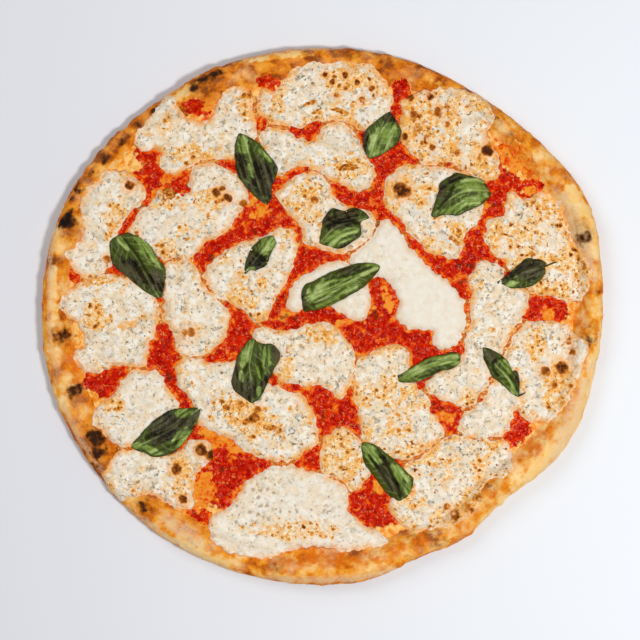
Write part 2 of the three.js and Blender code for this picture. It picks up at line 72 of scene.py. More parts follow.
Place = tuple[float, float]
Spot = tuple[float, float, float, float]  # x, y, radius, strength
Blob = tuple[float, float, float, float, float]  # x, y, half length, half width, turn in degrees
Spots = tuple[Spot, ...]
Blobs = tuple[Blob, ...]
Edges = Sequence[tuple[int, int]]  # pairs of point numbers
Faces = list[list[int]]  # point numbers, counter-clockwise seen from outside


class Slot(Enum):
    """Material slots of the record."""

    CRUST = "crust"
    SAUCE = "sauce"
    MOZZARELLA = "mozzarella"
    BASIL = "basil"


# ---- Smooth random fields and plain geometry --------------------------------------------------
class SoftNoise:
    """A smooth random field that is the same on every run."""

    PRIMES = (73856093, 19349663, 83492791)
    VALUES = 8192
    APART = 37.7  # shift between the fields of a sum
    WHOLE = 1.35  # brings their sum back to about 1

    def __init__(self, seed: int) -> None:
        """Draw the values of the field's lattice from a seed."""
        self.values = np.random.default_rng(seed).uniform(-1.0, 1.0, self.VALUES)

    def at(self, places: np.ndarray, size: float) -> np.ndarray:
        """Sample the field.

        Args:
            places: Points in two or three dimensions, one in each row.
            size: Width of one lattice cell, which is about the size of a bump.

        Returns:
            One value from -1 to 1 for each point.
        """
        cells = places / size
        corner = np.floor(cells).astype(np.int64)
        part = cells - corner
        fade = part * part * (3.0 - 2.0 * part)
        total = np.zeros(len(places))
        for offset in product((0, 1), repeat=places.shape[1]):
            steps = (corner + offset) * self.PRIMES[: places.shape[1]]
            key = np.bitwise_xor.reduce(steps, axis=1) & (self.VALUES - 1)
            share = np.where(np.array(offset, bool), fade, 1.0 - fade)
            total += self.values[key] * share.prod(axis=1)
        return total

    def rough(self, places: np.ndarray, size: float, octaves: int = 3) -> np.ndarray:
        """Sum fields of ever smaller bumps.

        Args:
            places: Points in two or three dimensions, one in each row.
            size: Size of the largest bumps.
            octaves: Number of fields, each with bumps half as large.

        Returns:
            One value of about -1 to 1 for each point.
        """
        total = np.zeros(len(places))
        for octave in range(octaves):
            moved = places + self.APART * octave
            total += self.at(moved, size / 2**octave) * 0.5**octave
        return total / self.WHOLE


NOISE = SoftNoise(11)
OTHER_NOISE = SoftNoise(29)
THIRD_NOISE = SoftNoise(53)


def ease(value: np.ndarray, low: float, high: float) -> np.ndarray:
    """Rise smoothly from 0 at low to 1 at high."""
    part = np.clip((value - low) / (high - low), 0.0, 1.0)
    return part * part * (3.0 - 2.0 * part)


def bell(value: np.ndarray, width: float) -> np.ndarray:
    """Rise to 1 where the value is 0, and fall away over a width on both sides."""
    return np.exp(-((value / width) ** 2))


def curve_through(knots: Sequence[Place], step: float, closed: bool) -> np.ndarray:
    """Lay a smooth curve through points and walk along it.

    Args:
        knots: The points that the curve runs through.
        step: Distance between the points that come back.
        closed: Whether the curve returns to its start.

    Returns:
        Points on the curve, one in each row.
    """
    here = np.array(knots, float)
    if closed:
        before, after, last = (np.roll(here, shift, axis=0) for shift in (1, -1, -2))
    else:
        ends = np.vstack([2 * here[0] - here[1], here, 2 * here[-1] - here[-2]])
        before, here, after, last = ends[:-3], ends[1:-2], ends[2:-1], ends[3:]
    part = np.linspace(0.0, 1.0, CUTS, endpoint=False)[None, :, None]
    a, b, c, d = (group[:, None, :] for group in (before, here, after, last))
    dense = 0.5 * (
        2 * b
        + (c - a) * part
        + (2 * a - 5 * b + 4 * c - d) * part**2
        + (3 * b - a - 3 * c + d) * part**3
    )
    dense = dense.reshape(-1, dense.shape[-1])
    final = dense[:1] if closed else after[-1:]
    dense = np.vstack([dense, final])
    length = np.concatenate([[0.0], np.cumsum(np.linalg.norm(np.diff(dense, axis=0), axis=1))])
    count = max(4, round(length[-1] / step))
    walk = np.linspace(0.0, length[-1], count, endpoint=not closed)
    return np.column_stack([np.interp(walk, length, axis) for axis in dense.T])


def depth_inside(places: np.ndarray, loop: np.ndarray) -> np.ndarray:
    """Measure how deep points lie inside a closed outline.

    Args:
        places: Points on the plan, one in each row.
        loop: Corners of the outline.

    Returns:
        Distance to the outline, positive inside it and negative outside.
    """
    starts, ends = loop, np.roll(loop, -1, axis=0)
    run = ends - starts
    length = (run**2).sum(axis=1)
    result = np.empty(len(places))
    parts = max(1, len(places) * len(loop) // BATCH)
    for rows in np.array_split(np.arange(len(places)), parts):
        px, py = places[rows, :1], places[rows, 1:2]
        dx, dy = px - starts[:, 0], py - starts[:, 1]
        along = np.clip((dx * run[:, 0] + dy * run[:, 1]) / length, 0.0, 1.0)
        gap = (dx - along * run[:, 0]) ** 2 + (dy - along * run[:, 1]) ** 2
        spans = (starts[:, 1] > py) != (ends[:, 1] > py)
        rise = np.where(run[:, 1] == 0.0, 1.0, run[:, 1])
        crosses = spans & (px < starts[:, 0] + dy / rise * run[:, 0])
        sign = np.where(crosses.sum(axis=1) % 2 == 1, 1.0, -1.0)
        result[rows] = sign * np.sqrt(gap.min(axis=1))
    return result


def nearest_on(places: np.ndarray, line: np.ndarray) -> tuple[np.ndarray, np.ndarray]:
    """Find where points lie beside an open line.

    Args:
        places: Points on the plan.
        line: Points of the line, in order.

    Returns:
        Distance along the line to the nearest point on it, and the distance to its left.
    """
    starts, run = line[:-1], np.diff(line, axis=0)
    length = np.linalg.norm(run, axis=1)
    before = np.concatenate([[0.0], np.cumsum(length)[:-1]])
    dx = places[:, None, 0] - starts[:, 0]
    dy = places[:, None, 1] - starts[:, 1]
    along = np.clip((dx * run[:, 0] + dy * run[:, 1]) / length**2, 0.0, 1.0)
    gap = np.hypot(dx - along * run[:, 0], dy - along * run[:, 1])
    best = gap.argmin(axis=1)
    rows = np.arange(len(places))
    side = np.sign(run[best, 0] * dy[rows, best] - run[best, 1] * dx[rows, best])
    return before[best] + along[rows, best] * length[best], side * gap[rows, best]


def near_to(
    places: np.ndarray, middle: Place, radius: float, reach: float
) -> tuple[np.ndarray, np.ndarray, np.ndarray]:
    """Pick the points round a mark.

    Args:
        places: Points whose first two columns are x and y.
        middle: Middle of the mark.
        radius: Its radius.
        reach: How many radii away a point may be.

    Returns:
        Which points these are, their places on the plan, and their distance in radii.
    """
    near = np.abs(places[:, :2] - middle).max(axis=1) < reach * radius
    local = places[near, :2]
    return near, local, np.hypot(*(local - middle).T) / radius


def spotted(places: np.ndarray, spots: Sequence[Spot], frayed: float) -> np.ndarray:
    """Spread round marks with frayed edges.

    Args:
        places: Points whose first two columns are x and y.
        spots: The marks, each as x, y, radius and strength.
        frayed: How far the edges wander, as a share of the radius.

    Returns:
        The strongest mark at each point, from 0 to its strength.
    """
    result = np.zeros(len(places))
    for x, y, radius, strength in spots:
        near, local, reach = near_to(places, (x, y), radius, 2.0)
        reach += NOISE.rough(local + strength, radius * 0.7) * frayed
        result[near] = np.maximum(result[near], strength * (1.0 - ease(reach, 0.0, 1.3)))
    return result


def patched(places: np.ndarray, blobs: Sequence[Blob], frayed: float) -> np.ndarray:
    """Spread oval patches with soft, uneven edges.

    Args:
        places: Points whose first two columns are x and y.
        blobs: The ovals, each as x, y, half length, half width and turn in degrees.
        frayed: How far the edges wander, as a share of the oval.

    Returns:
        1 inside the patches and 0 away from them.
    """
    result = np.zeros(len(places))
    wander = OTHER_NOISE.rough(places[:, :2], 3.4) * frayed
    for x, y, half_length, half_width, turn in blobs:
        angle = math.radians(turn)
        dx, dy = places[:, 0] - x, places[:, 1] - y
        along = (dx * math.cos(angle) + dy * math.sin(angle)) / half_length
        across = (dy * math.cos(angle) - dx * math.sin(angle)) / half_width
        result = np.maximum(result, 1.0 - ease(np.hypot(along, across) + wander, 0.75, 1.15))
    return result


# ---- Meshes -----------------------------------------------------------------------------------
def deselect_all() -> None:
    """Leave nothing selected, so that an operator acts on its own object."""
    for thing in bpy.context.selected_objects:
        thing.select_set(False)


def add_object(name: str, data: bpy.types.ID) -> bpy.types.Object:
    """Put a new object in the scene.

    Args:
        name: Name of the object.
        data: Its mesh, lamp or camera.

    Returns:
        The object.
    """
    thing = bpy.data.objects.new(name, data)
    bpy.context.scene.collection.objects.link(thing)
    return thing


def new_piece(name: str, places: np.ndarray, faces: Faces) -> bpy.types.Object:
    """Make a smooth-shaded mesh object.

    Args:
        name: Name of the object.
        places: Points in millimetres, one in each row.
        faces: Lists of point numbers, counter-clockwise seen from outside.

    Returns:
        The new object, with its place in its mesh.
    """
    mesh = bpy.data.meshes.new(name)
    mesh.from_pydata((places * MM).tolist(), [], faces)
    mesh.polygons.foreach_set("use_smooth", np.ones(len(mesh.polygons), bool))
    mesh.update()
    return add_object(name, mesh)


def corners_of(mesh: bpy.types.Mesh) -> np.ndarray:
    """Read the points of a mesh.

    Args:
        mesh: Any mesh.

    Returns:
        The points in millimetres, one in each row.
    """
    places = np.empty(len(mesh.vertices) * 3)
    mesh.vertices.foreach_get("co", places)
    return places.reshape(-1, 3) / MM


def surface_of(piece: bpy.types.Object) -> BVHTree:
    """Index a mesh in millimetres, so that heights can be read off it."""
    faces = [list(face.vertices) for face in piece.data.polygons]
    return BVHTree.FromPolygons(corners_of(piece.data).tolist(), faces)


def height_on(surfaces: Sequence[BVHTree], places: np.ndarray) -> np.ndarray:
    """Read the height of the highest of some surfaces.

    Args:
        surfaces: Indexed meshes.
        places: Points on the plan.

    Returns:
        The height at each point, and 0 where there is nothing.
    """
    down = Vector((0.0, 0.0, -1.0))
    heights = np.zeros(len(places))
    for surface in surfaces:
        for row, (x, y) in enumerate(places.tolist()):
            hit = surface.ray_cast(Vector((x, y, SKY)), down)[0]
            if hit is not None and hit.z > heights[row]:
                heights[row] = hit.z
    return heights


def finish_piece(
    piece: bpy.types.Object, marks: dict[str, np.ndarray], material: bpy.types.Material,
    node: str,
) -> BVHTree:
    """Dress a piece, let it ride on the pizza and let it stand for its node.

    Args:
        piece: The new piece.
        marks: Numbers for its first points, for the material to read; the rest have 0.
        material: Its finish.
        node: The solid that it replaces.

    Returns:
        An index of its surface.
    """
    for name, numbers in marks.items():
        every = np.zeros(len(piece.data.vertices), np.float32)
        every[: len(numbers)] = numbers
        piece.data.attributes.new(name, "FLOAT", "POINT").data.foreach_set("value", every)
    piece.data.materials.append(material)
    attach(piece, BODY)
    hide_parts(node)
    log.info("%s: %d faces for %s", piece.name, len(piece.data.polygons), node)
    return surface_of(piece)


def edges_of(ring: list[int]) -> Edges:
    """Pair each point of a ring with the next, and the last with the first."""
    return list(zip(ring, ring[1:] + ring[:1]))


def points_of(edges: Edges) -> list[int]:
    """List the points that edges join, in the order of their numbers."""
    return sorted({index for edge in edges for index in edge})


def walk_round(edges: Edges) -> list[int]:
    """Follow edges until they come back to where they began.

    Args:
        edges: The edges of one closed loop.

    Returns:
        The points of the loop in order, from the start of the first edge.
    """
    after = dict(edges)
    loop = [next(iter(after))]
    while after[loop[-1]] != loop[0]:
        loop.append(after[loop[-1]])
    return loop


def upper_outline(node: str) -> np.ndarray:
    """Follow the top edge of a slice's upright walls.

    Args:
        node: Name of a solid whose walls are upright.

    Returns:
        Corners of the outline in millimetres, counter-clockwise seen from above.
    """
    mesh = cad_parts[node].data
    rounded = np.round(corners_of(mesh), 3)
    corners, numbers = np.unique(rounded, axis=0, return_inverse=True)
    numbers = numbers.reshape(-1)
    tops, walls = {}, set()
    for face in mesh.polygons:
        edges = edges_of([int(numbers[index]) for index in face.vertices])
        if abs(face.normal.z) < UPRIGHT:
            walls.update(edges)
        elif face.normal.z > 0:
            tops.update(dict.fromkeys(edges))
    return corners[walk_round([edge for edge in tops if edge[::-1] in walls])][:, :2]


@dataclass
class Sheet:
    """A flat patch cut to an outline and filled with a triangular lattice."""

    outline: np.ndarray
    step: float
    coarse_step: float = 5.0
    places: np.ndarray = field(init=False)
    faces: Faces = field(init=False)
    edges: Edges = field(init=False)
    depth: np.ndarray = field(init=False)

    def __post_init__(self) -> None:
        """Cut the patch."""
        self.places, self.faces = filled(self.outline, inside(self.outline, self.step, 0.45))
        self.depth = np.abs(depth_inside(self.places, self.outline))
        self.edges = open_edges(self.faces)

    def underside(self) -> tuple[np.ndarray, Faces]:
        """Cover the patch with few large triangles that share its edge.

        Returns:
            The extra points, and faces that turn down and number those points on from the
            patch's own.
        """
        rim = points_of(self.edges)
        order = {index: place for place, index in enumerate(rim)}
        ring = [(order[start], order[end]) for start, end in self.edges]
        inner = inside(self.outline, self.coarse_step, 0.5)
        places, faces = triangles(np.vstack([self.places[rim], inner]), ring)
        number = rim + [len(self.places) + extra for extra in range(len(places) - len(rim))]
        return places[len(rim):], [[number[index] for index in reversed(face)] for face in faces]


def lattice(outline: np.ndarray, step: float) -> np.ndarray:
    """Lay a triangular lattice over the box of an outline.

    Args:
        outline: Corners of the outline.
        step: Distance between neighbouring points.

    Returns:
        The points, one in each row.
    """
    low, high = outline.min(axis=0), outline.max(axis=0)
    row_step = step * math.sqrt(3.0) / 2.0
    columns = np.arange(low[0], high[0] + step, step)
    rows = np.arange(low[1], high[1] + row_step, row_step)
    x, y = np.meshgrid(columns, rows)
    x[1::2] += step / 2.0
    return np.column_stack([x.ravel(), y.ravel()])


def inside(outline: np.ndarray, step: float, margin: float) -> np.ndarray:
    """Lay a triangular lattice that keeps a margin, in steps, from the outline round it."""
    places = lattice(outline, step)
    return places[depth_inside(places, outline) > margin * step]


def filled(outline: np.ndarray, inner: np.ndarray) -> tuple[np.ndarray, Faces]:
    """Join an outline and the points inside it by triangles that face up."""
    ring = edges_of(list(range(len(outline))))
    return triangles(np.vstack([outline, inner]), ring)


def triangles(places: np.ndarray, edges: Edges) -> tuple[np.ndarray, Faces]:
    """Join points inside closed edges by triangles that face up.

    Args:
        places: Points on the plan.
        edges: Pairs of point numbers that bound the patch.

    Returns:
        The points, in the order given, and the triangles.
    """
    points = [Vector(place) for place in places.tolist()]
    corners, _, faces, *_ = delaunay_2d_cdt(points, edges, [], 1, HAIR)
    flat = np.array([(corner.x, corner.y) for corner in corners])
    ring = np.array(faces)
    a, b, c = flat[ring[:, 0]], flat[ring[:, 1]], flat[ring[:, 2]]
    area = (b[:, 0] - a[:, 0]) * (c[:, 1] - a[:, 1]) - (b[:, 1] - a[:, 1]) * (c[:, 0] - a[:, 0])
    ring[area < 0] = ring[area < 0][:, ::-1]
    return flat, ring.tolist()


def open_edges(faces: Faces) -> Edges:
    """Find the edges that only one face has, in that face's direction."""
    every = {edge for face in faces for edge in edges_of(face)}
    return [edge for edge in sorted(every) if edge[::-1] not in every]


def shell(top: Faces, bottom: Faces) -> Faces:
    """Join a top and a bottom, without the corner faces that both have on the same points."""
    shared = {frozenset(face) for face in top} & {frozenset(face) for face in bottom}
    return [face for face in top + bottom if frozenset(face) not in shared]


def ragged(
    loop: np.ndarray, swings: Sequence[tuple[float, float]], growth: float = 0.0
) -> np.ndarray:
    """Push the points of an outline in and out at random.

    Args:
        loop: Corners of a closed outline.
        swings: Size of the lobes and how far they swing, for each size of lobe.
        growth: How far all of it moves out.

    Returns:
        The uneven outline.
    """
    run = np.roll(loop, -1, axis=0) - np.roll(loop, 1, axis=0)
    outward = np.column_stack([run[:, 1], -run[:, 0]])
    outward /= np.linalg.norm(outward, axis=1, keepdims=True)
    push = growth + sum(OTHER_NOISE.at(loop, size) * swing for size, swing in swings)
    return loop + outward * push[:, None]


# ---- Materials --------------------------------------------------------------------------------
Color = tuple[float, float, float, float]
Socket = bpy.types.NodeSocket


def rgb(red: int, green: int, blue: int) -> Color:
    """Turn a colour as seen on a screen into linear light.

    Args:
        red: Red channel, 0 to 255.
        green: Green channel.
        blue: Blue channel.

    Returns:
        The colour, with an alpha of 1.
    """

    def linear(level: float) -> float:
        """Undo the screen's curve for one channel."""
        return level / 12.92 if level <= 0.04045 else ((level + 0.055) / 1.055) ** 2.4

    return (*(linear(channel / 255.0) for channel in (red, green, blue)), 1.0)


class Graph:
    """A material's nodes, joined by short calls."""

    def __init__(self, name: str) -> None:
        """Start a material with a bare shader.

        Args:
            name: Name of the material.
        """
        self.material = bpy.data.materials.new(name)
        self.material.use_nodes = True
        self.nodes = self.material.node_tree.nodes
        self.links = self.material.node_tree.links
        self.shader = self.nodes["Principled BSDF"]
        self.place = self.nodes.new("ShaderNodeTexCoord").outputs["Object"]
        self.color: Socket | None = None  # what is painted so far

    def _feed(self, socket: Socket, value: object) -> None:
        """Link a socket, or set its value.

        Args:
            socket: A socket of a node.
            value: Another socket, a number or a colour.
        """
        if isinstance(value, Socket):
            self.links.new(value, socket)
        else:
            socket.default_value = value

    def _pattern(self, kind: str, size: float, place: Socket) -> bpy.types.Node:
        """Lay a pattern over a place.

        Args:
            kind: Kind of the texture node.
            size: Size of its features in millimetres.
            place: Where it is read.

        Returns:
            The node.
        """
        node = self.nodes.new(kind)
        self._feed(node.inputs["Vector"], place)
        node.inputs["Scale"].default_value = 1.0 / (size * MM)
        return node

    def attribute(self, name: str) -> Socket:
        """Read a number kept on the mesh.

        Args:
            name: Name of the number.

        Returns:
            Its value.
        """
        node = self.nodes.new("ShaderNodeAttribute")
        node.attribute_name = name
        return node.outputs["Fac"]

    def noise(
        self, size: float, detail: float = 3.0, roughness: float = 0.55, twist: float = 0.0
    ) -> Socket:
        """Make cloudy noise.

        Args:
            size: Size of its blots in millimetres.
            detail: Number of finer layers.
            roughness: Strength of the finer layers.
            twist: How far the pattern is distorted.

        Returns:
            A value of about 0 to 1.
        """
        node = self._pattern("ShaderNodeTexNoise", size, self.place)
        node.inputs["Detail"].default_value = detail
        node.inputs["Roughness"].default_value = roughness
        node.inputs["Distortion"].default_value = twist
        return node.outputs["Fac"]

    def swing(self, reach: float, size: float, *shape: float) -> Socket:
        """Make cloudy noise from minus to plus a reach, with the noise's size, detail and so on."""
        return self.span(self.noise(size, *shape), 0.3, 0.7, -reach, reach)

    def warped(self, size: float, reach: float) -> Socket:
        """Shift the place at random, so that shapes read there come out crooked.

        Args:
            size: Size of the bends in millimetres.
            reach: How far they push, in millimetres.

        Returns:
            The shifted place.
        """
        node = self._pattern("ShaderNodeTexNoise", size, self.place)
        push = self.nodes.new("ShaderNodeVectorMath")
        push.operation = "MULTIPLY_ADD"
        push.inputs[1].default_value = (2.0 * reach * MM,) * 3
        self.links.new(node.outputs["Color"], push.inputs[0])
        self.links.new(self.place, push.inputs[2])
        return push.outputs["Vector"]

    def spots(self, size: float, radius: float, share: float, place: Socket) -> Socket:
        """Scatter soft spots of uneven size over the plan.

        Args:
            size: Distance between their middles in millimetres.
            radius: Their greatest radius as a share of that.
            share: How many of the middles have a spot, from 0 to 1.
            place: Where the pattern is read.

        Returns:
            Up to 1 in the middle of a spot, falling to 0 at its edge.
        """
        node = self._pattern("ShaderNodeTexVoronoi", size, place)
        node.voronoi_dimensions = "2D"
        parts = self.nodes.new("ShaderNodeSeparateColor")
        self.links.new(node.outputs["Color"], parts.inputs["Color"])
        drawn = self.span(parts.outputs["Red"], 0.98 - share, 1.02 - share)
        swell = self.math("MULTIPLY_ADD", parts.outputs["Green"], 0.6 * radius, 0.4 * radius)
        off = self.math("DIVIDE", node.outputs["Distance"], swell)
        strength = self.math("MULTIPLY_ADD", parts.outputs["Blue"], 0.55, 0.45)
        return self.times(self.span(off, 0.1, 1.0, strength, 0.0), drawn)

    def lines(self, size: float, width: float) -> Socket:
        """Draw thin crooked lines.

        Args:
            size: Distance between them in millimetres.
            width: How wide they are, as a share of the noise's range.

        Returns:
            Up to 1 on a line.
        """
        off = self.math("SUBTRACT", self.noise(size, 2.0, 0.5, 0.8), 0.5)
        return self.span(self.math("ABSOLUTE", off), 0.2 * width, width, 1.0, 0.0)

    def math(self, kind: str, *values: object) -> Socket:
        """Work out a number from others.

        Args:
            kind: The operation.
            *values: Sockets or numbers, in the order of the operation.

        Returns:
            The result.
        """
        node = self.nodes.new("ShaderNodeMath")
        node.operation = kind
        for socket, value in zip(node.inputs, values):
            self._feed(socket, value)
        return node.outputs["Value"]

    def times(self, first: object, second: object) -> Socket:
        """Multiply two numbers."""
        return self.math("MULTIPLY", first, second)

    def plus(self, first: object, second: object) -> Socket:
        """Add two numbers."""
        return self.math("ADD", first, second)

    def span(
        self, value: object, low: float, high: float, start: float = 0.0, end: float = 1.0
    ) -> Socket:
        """Map a range to another one, smoothly and clamped at its ends.

        Args:
            value: The number.
            low: Start of its range.
            high: End of its range.
            start: What the start becomes.
            end: What the end becomes.

        Returns:
            The mapped number.
        """
        node = self.nodes.new("ShaderNodeMapRange")
        node.interpolation_type = "SMOOTHSTEP"
        for label, number in zip(
            ("Value", "From Min", "From Max", "To Min", "To Max"), (value, low, high, start, end)
        ):
            self._feed(node.inputs[label], number)
        return node.outputs["Result"]

    def mix(self, share: object, first: object, second: object) -> Socket:
        """Blend two colours.

        Args:
            share: How much of the second colour shows.
            first: A colour.
            second: Another colour.

        Returns:
            The blend.
        """
        node = self.nodes.new("ShaderNodeMix")
        node.data_type = "RGBA"
        self._feed(node.inputs[0], share)
        self._feed(node.inputs[6], first)
        self._feed(node.inputs[7], second)
        return node.outputs[2]

    def paint(self, color: object, *shares: object) -> None:
        """Lay a colour over what is painted so far, by the product of its shares."""
        self.color = self.mix(reduce(self.times, shares), self.color, color)

    def ramp(self, value: object, *stops: tuple[float, Color]) -> Socket:
        """Turn a number into a colour.

        Args:
            value: The number.
            *stops: Positions from 0 to 1, and the colours there.

        Returns:
            The colour.
        """
        node = self.nodes.new("ShaderNodeValToRGB")
        self._feed(node.inputs["Fac"], value)
        elements = node.color_ramp.elements
        while len(elements) < len(stops):
            elements.new(0.5)
        for element, (position, color) in zip(elements, stops):
            element.position = position
            element.color = color
        return node.outputs["Color"]

    def bump(self, height: object, depth: float, below: object = None) -> Socket:
        """Turn a height into a tilted surface.

        Args:
            height: A value of 0 to 1.
            depth: What 1 stands for, in millimetres.
            below: The surface that it lies on.

        Returns:
            The surface's direction.
        """
        node = self.nodes.new("ShaderNodeBump")
        node.inputs["Distance"].default_value = depth * MM
        self._feed(node.inputs["Height"], height)
        if below is not None:
            self.links.new(below, node.inputs["Normal"])
        return node.outputs["Normal"]

    def dress(self, **values: object) -> bpy.types.Material:
        """Feed the shader.

        Args:
            **values: What each socket gets, by its label with underscores.

        Returns:
            The material.
        """
        for label, value in values.items():
            self._feed(self.shader.inputs[label.replace("_", " ")], value)
        return self.material


@dataclass(frozen=True)
class Finish:
    """What every finish of the food has."""

    roughness: float = 0.5
    shine: float = 0.08

    def dressed(self, g: Graph, normal: Socket) -> bpy.types.Material:
        """Feed what is painted and a surface to the shader.

        Args:
            g: The nodes.
            normal: The surface's direction.

        Returns:
            The material.
        """
        return g.dress(
            Base_Color=g.color, Roughness=self.roughness, Normal=normal,
            Specular_IOR_Level=self.shine,
        )


@dataclass(frozen=True)
class BakedDough(Finish):
    """Baked dough: golden, orange where it is thin, floury outside, scorched on its bubbles."""

    pale: Color = rgb(248, 202, 126)
    golden: Color = rgb(243, 160, 46)
    orange: Color = rgb(220, 116, 14)
    russet: Color = rgb(146, 70, 10)
    cream: Color = rgb(254, 222, 162)
    flour: Color = rgb(228, 194, 154)
    brown: Color = rgb(130, 66, 18)
    dark: Color = rgb(66, 32, 10)
    black: Color = rgb(22, 14, 8)
    oily: Color = rgb(228, 110, 14)
    roughness: float = 0.6

    def material(self) -> bpy.types.Material:
        """Build the finish.

        Returns:
            Its material.
        """
        g = Graph("baked_dough")
        baked = g.attribute("bake")
        cloudy = g.plus(baked, g.swing(0.32, 9.0, 4.0, 0.5, 0.4))
        bake = g.plus(cloudy, g.swing(0.09, 1.8, 3.0, 0.6))
        g.color = g.ramp(
            bake, (0.06, self.pale), (0.4, self.golden), (0.72, self.orange), (1.0, self.russet))
        light = g.span(g.noise(11.0, 3.0, 0.5, 0.4), 0.45, 0.72, 0.0, 0.7)
        tender = g.span(baked, 0.3, 0.75, 1.0, 0.12)
        g.paint(self.cream, light, tender)
        freckle = g.span(g.noise(3.4, 4.0, 0.6), 0.58, 0.76, 0.0, 0.5)
        g.paint(self.brown, freckle, baked)
        dusty = g.span(g.noise(1.1, 4.0, 0.7), 0.34, 0.6)
        g.paint(self.flour, g.attribute("flour"), dusty, 0.85)
        g.paint(self.oily, g.attribute("stain"), g.span(g.noise(6.0, 3.0, 0.5), 0.36, 0.62))
        char = g.attribute("char")
        fuzz = g.swing(0.17, 3.8, 4.0, 0.52)
        burnt = g.plus(char, g.times(fuzz, g.span(char, 0.0, 0.4)))
        scorched = g.ramp(burnt, (0.3, self.brown), (0.66, self.dark), (1.0, self.black))
        g.paint(scorched, g.span(burnt, 0.06, 0.66))
        pits = g.bump(g.noise(1.0, 3.0, 0.6), 0.3)
        return self.dressed(g, g.bump(g.noise(3.2, 3.0, 0.5), 0.6, pits))


@dataclass(frozen=True)
class TomatoSauce(Finish):
    """Cooked tomato sauce: deep red pulp, orange and oily where it is thin, with painted glints and
    painted shade in its crevices.
    """

    # deep: the darkest pulp, also laid in thin lines as painted shade in crevices
    deep: Color = rgb(150, 6, 0)
    red: Color = rgb(200, 22, 0)
    bright: Color = rgb(228, 54, 0)
    amber: Color = rgb(230, 104, 10)
    oil: Color = rgb(240, 150, 44)
    toasted: Color = rgb(196, 96, 22)
    crumb: Color = rgb(252, 204, 120)
    # Painted highlight: the colour of the glints on the wet pulp.
    painted_glint: Color = rgb(255, 160, 84)
    scorched: Color = rgb(96, 34, 8)
    roughness: float = 0.14
    shine: float = 0.07

    def material(self) -> bpy.types.Material:
        """Build the finish.

        Returns:
            Its material.
        """
        g = Graph("tomato_sauce")
        pulp = g.noise(3.0, 4.0, 0.62, 0.6)
        g.color = g.ramp(pulp, (0.36, self.deep), (0.5, self.red), (0.66, self.bright))
        # Painted shade: thin dark lines standing for the shadowed crevices between lumps of pulp.
        g.paint(self.deep, g.lines(4.2, 0.045), 0.6)
        thin = g.plus(g.attribute("thin"), g.swing(0.45, 6.0, 5.0, 0.68, 0.7))
        mixed = g.math("SUBTRACT", thin, g.span(pulp, 0.3, 0.7, 0.5, 0.0))
        oily = g.ramp(mixed, (0.3, self.bright), (0.55, self.amber), (0.95, self.oil))
        g.paint(oily, g.span(thin, 0.32, 0.75))
        golden = g.ramp(
            g.noise(5.0, 4.0, 0.56, 0.6), (0.26, self.amber), (0.42, self.oil), (0.56, self.crumb))
        bare = g.plus(g.attribute("bare"), g.swing(0.25, 3.0, 3.0))
        g.paint(golden, g.span(bare, 0.25, 0.75))
        run_together = g.ramp(
            g.noise(2.4, 4.0, 0.66, 0.5), (0.48, self.toasted), (0.64, self.crumb))
        seam = g.plus(g.attribute("seam"), g.swing(0.25, 2.0, 3.0))
        g.paint(run_together, g.span(seam, 0.3, 0.7))
        # Painted glints: thin bright lines where the wet pulp would catch the lamp.
        g.paint(self.painted_glint, g.lines(2.6, 0.04), g.span(g.noise(3.4, 2.0), 0.52, 0.62), 0.8)
        g.paint(self.scorched, g.attribute("char"))
        return self.dressed(g, g.bump(g.noise(3.2, 2.0, 0.45, 0.5), 1.4))


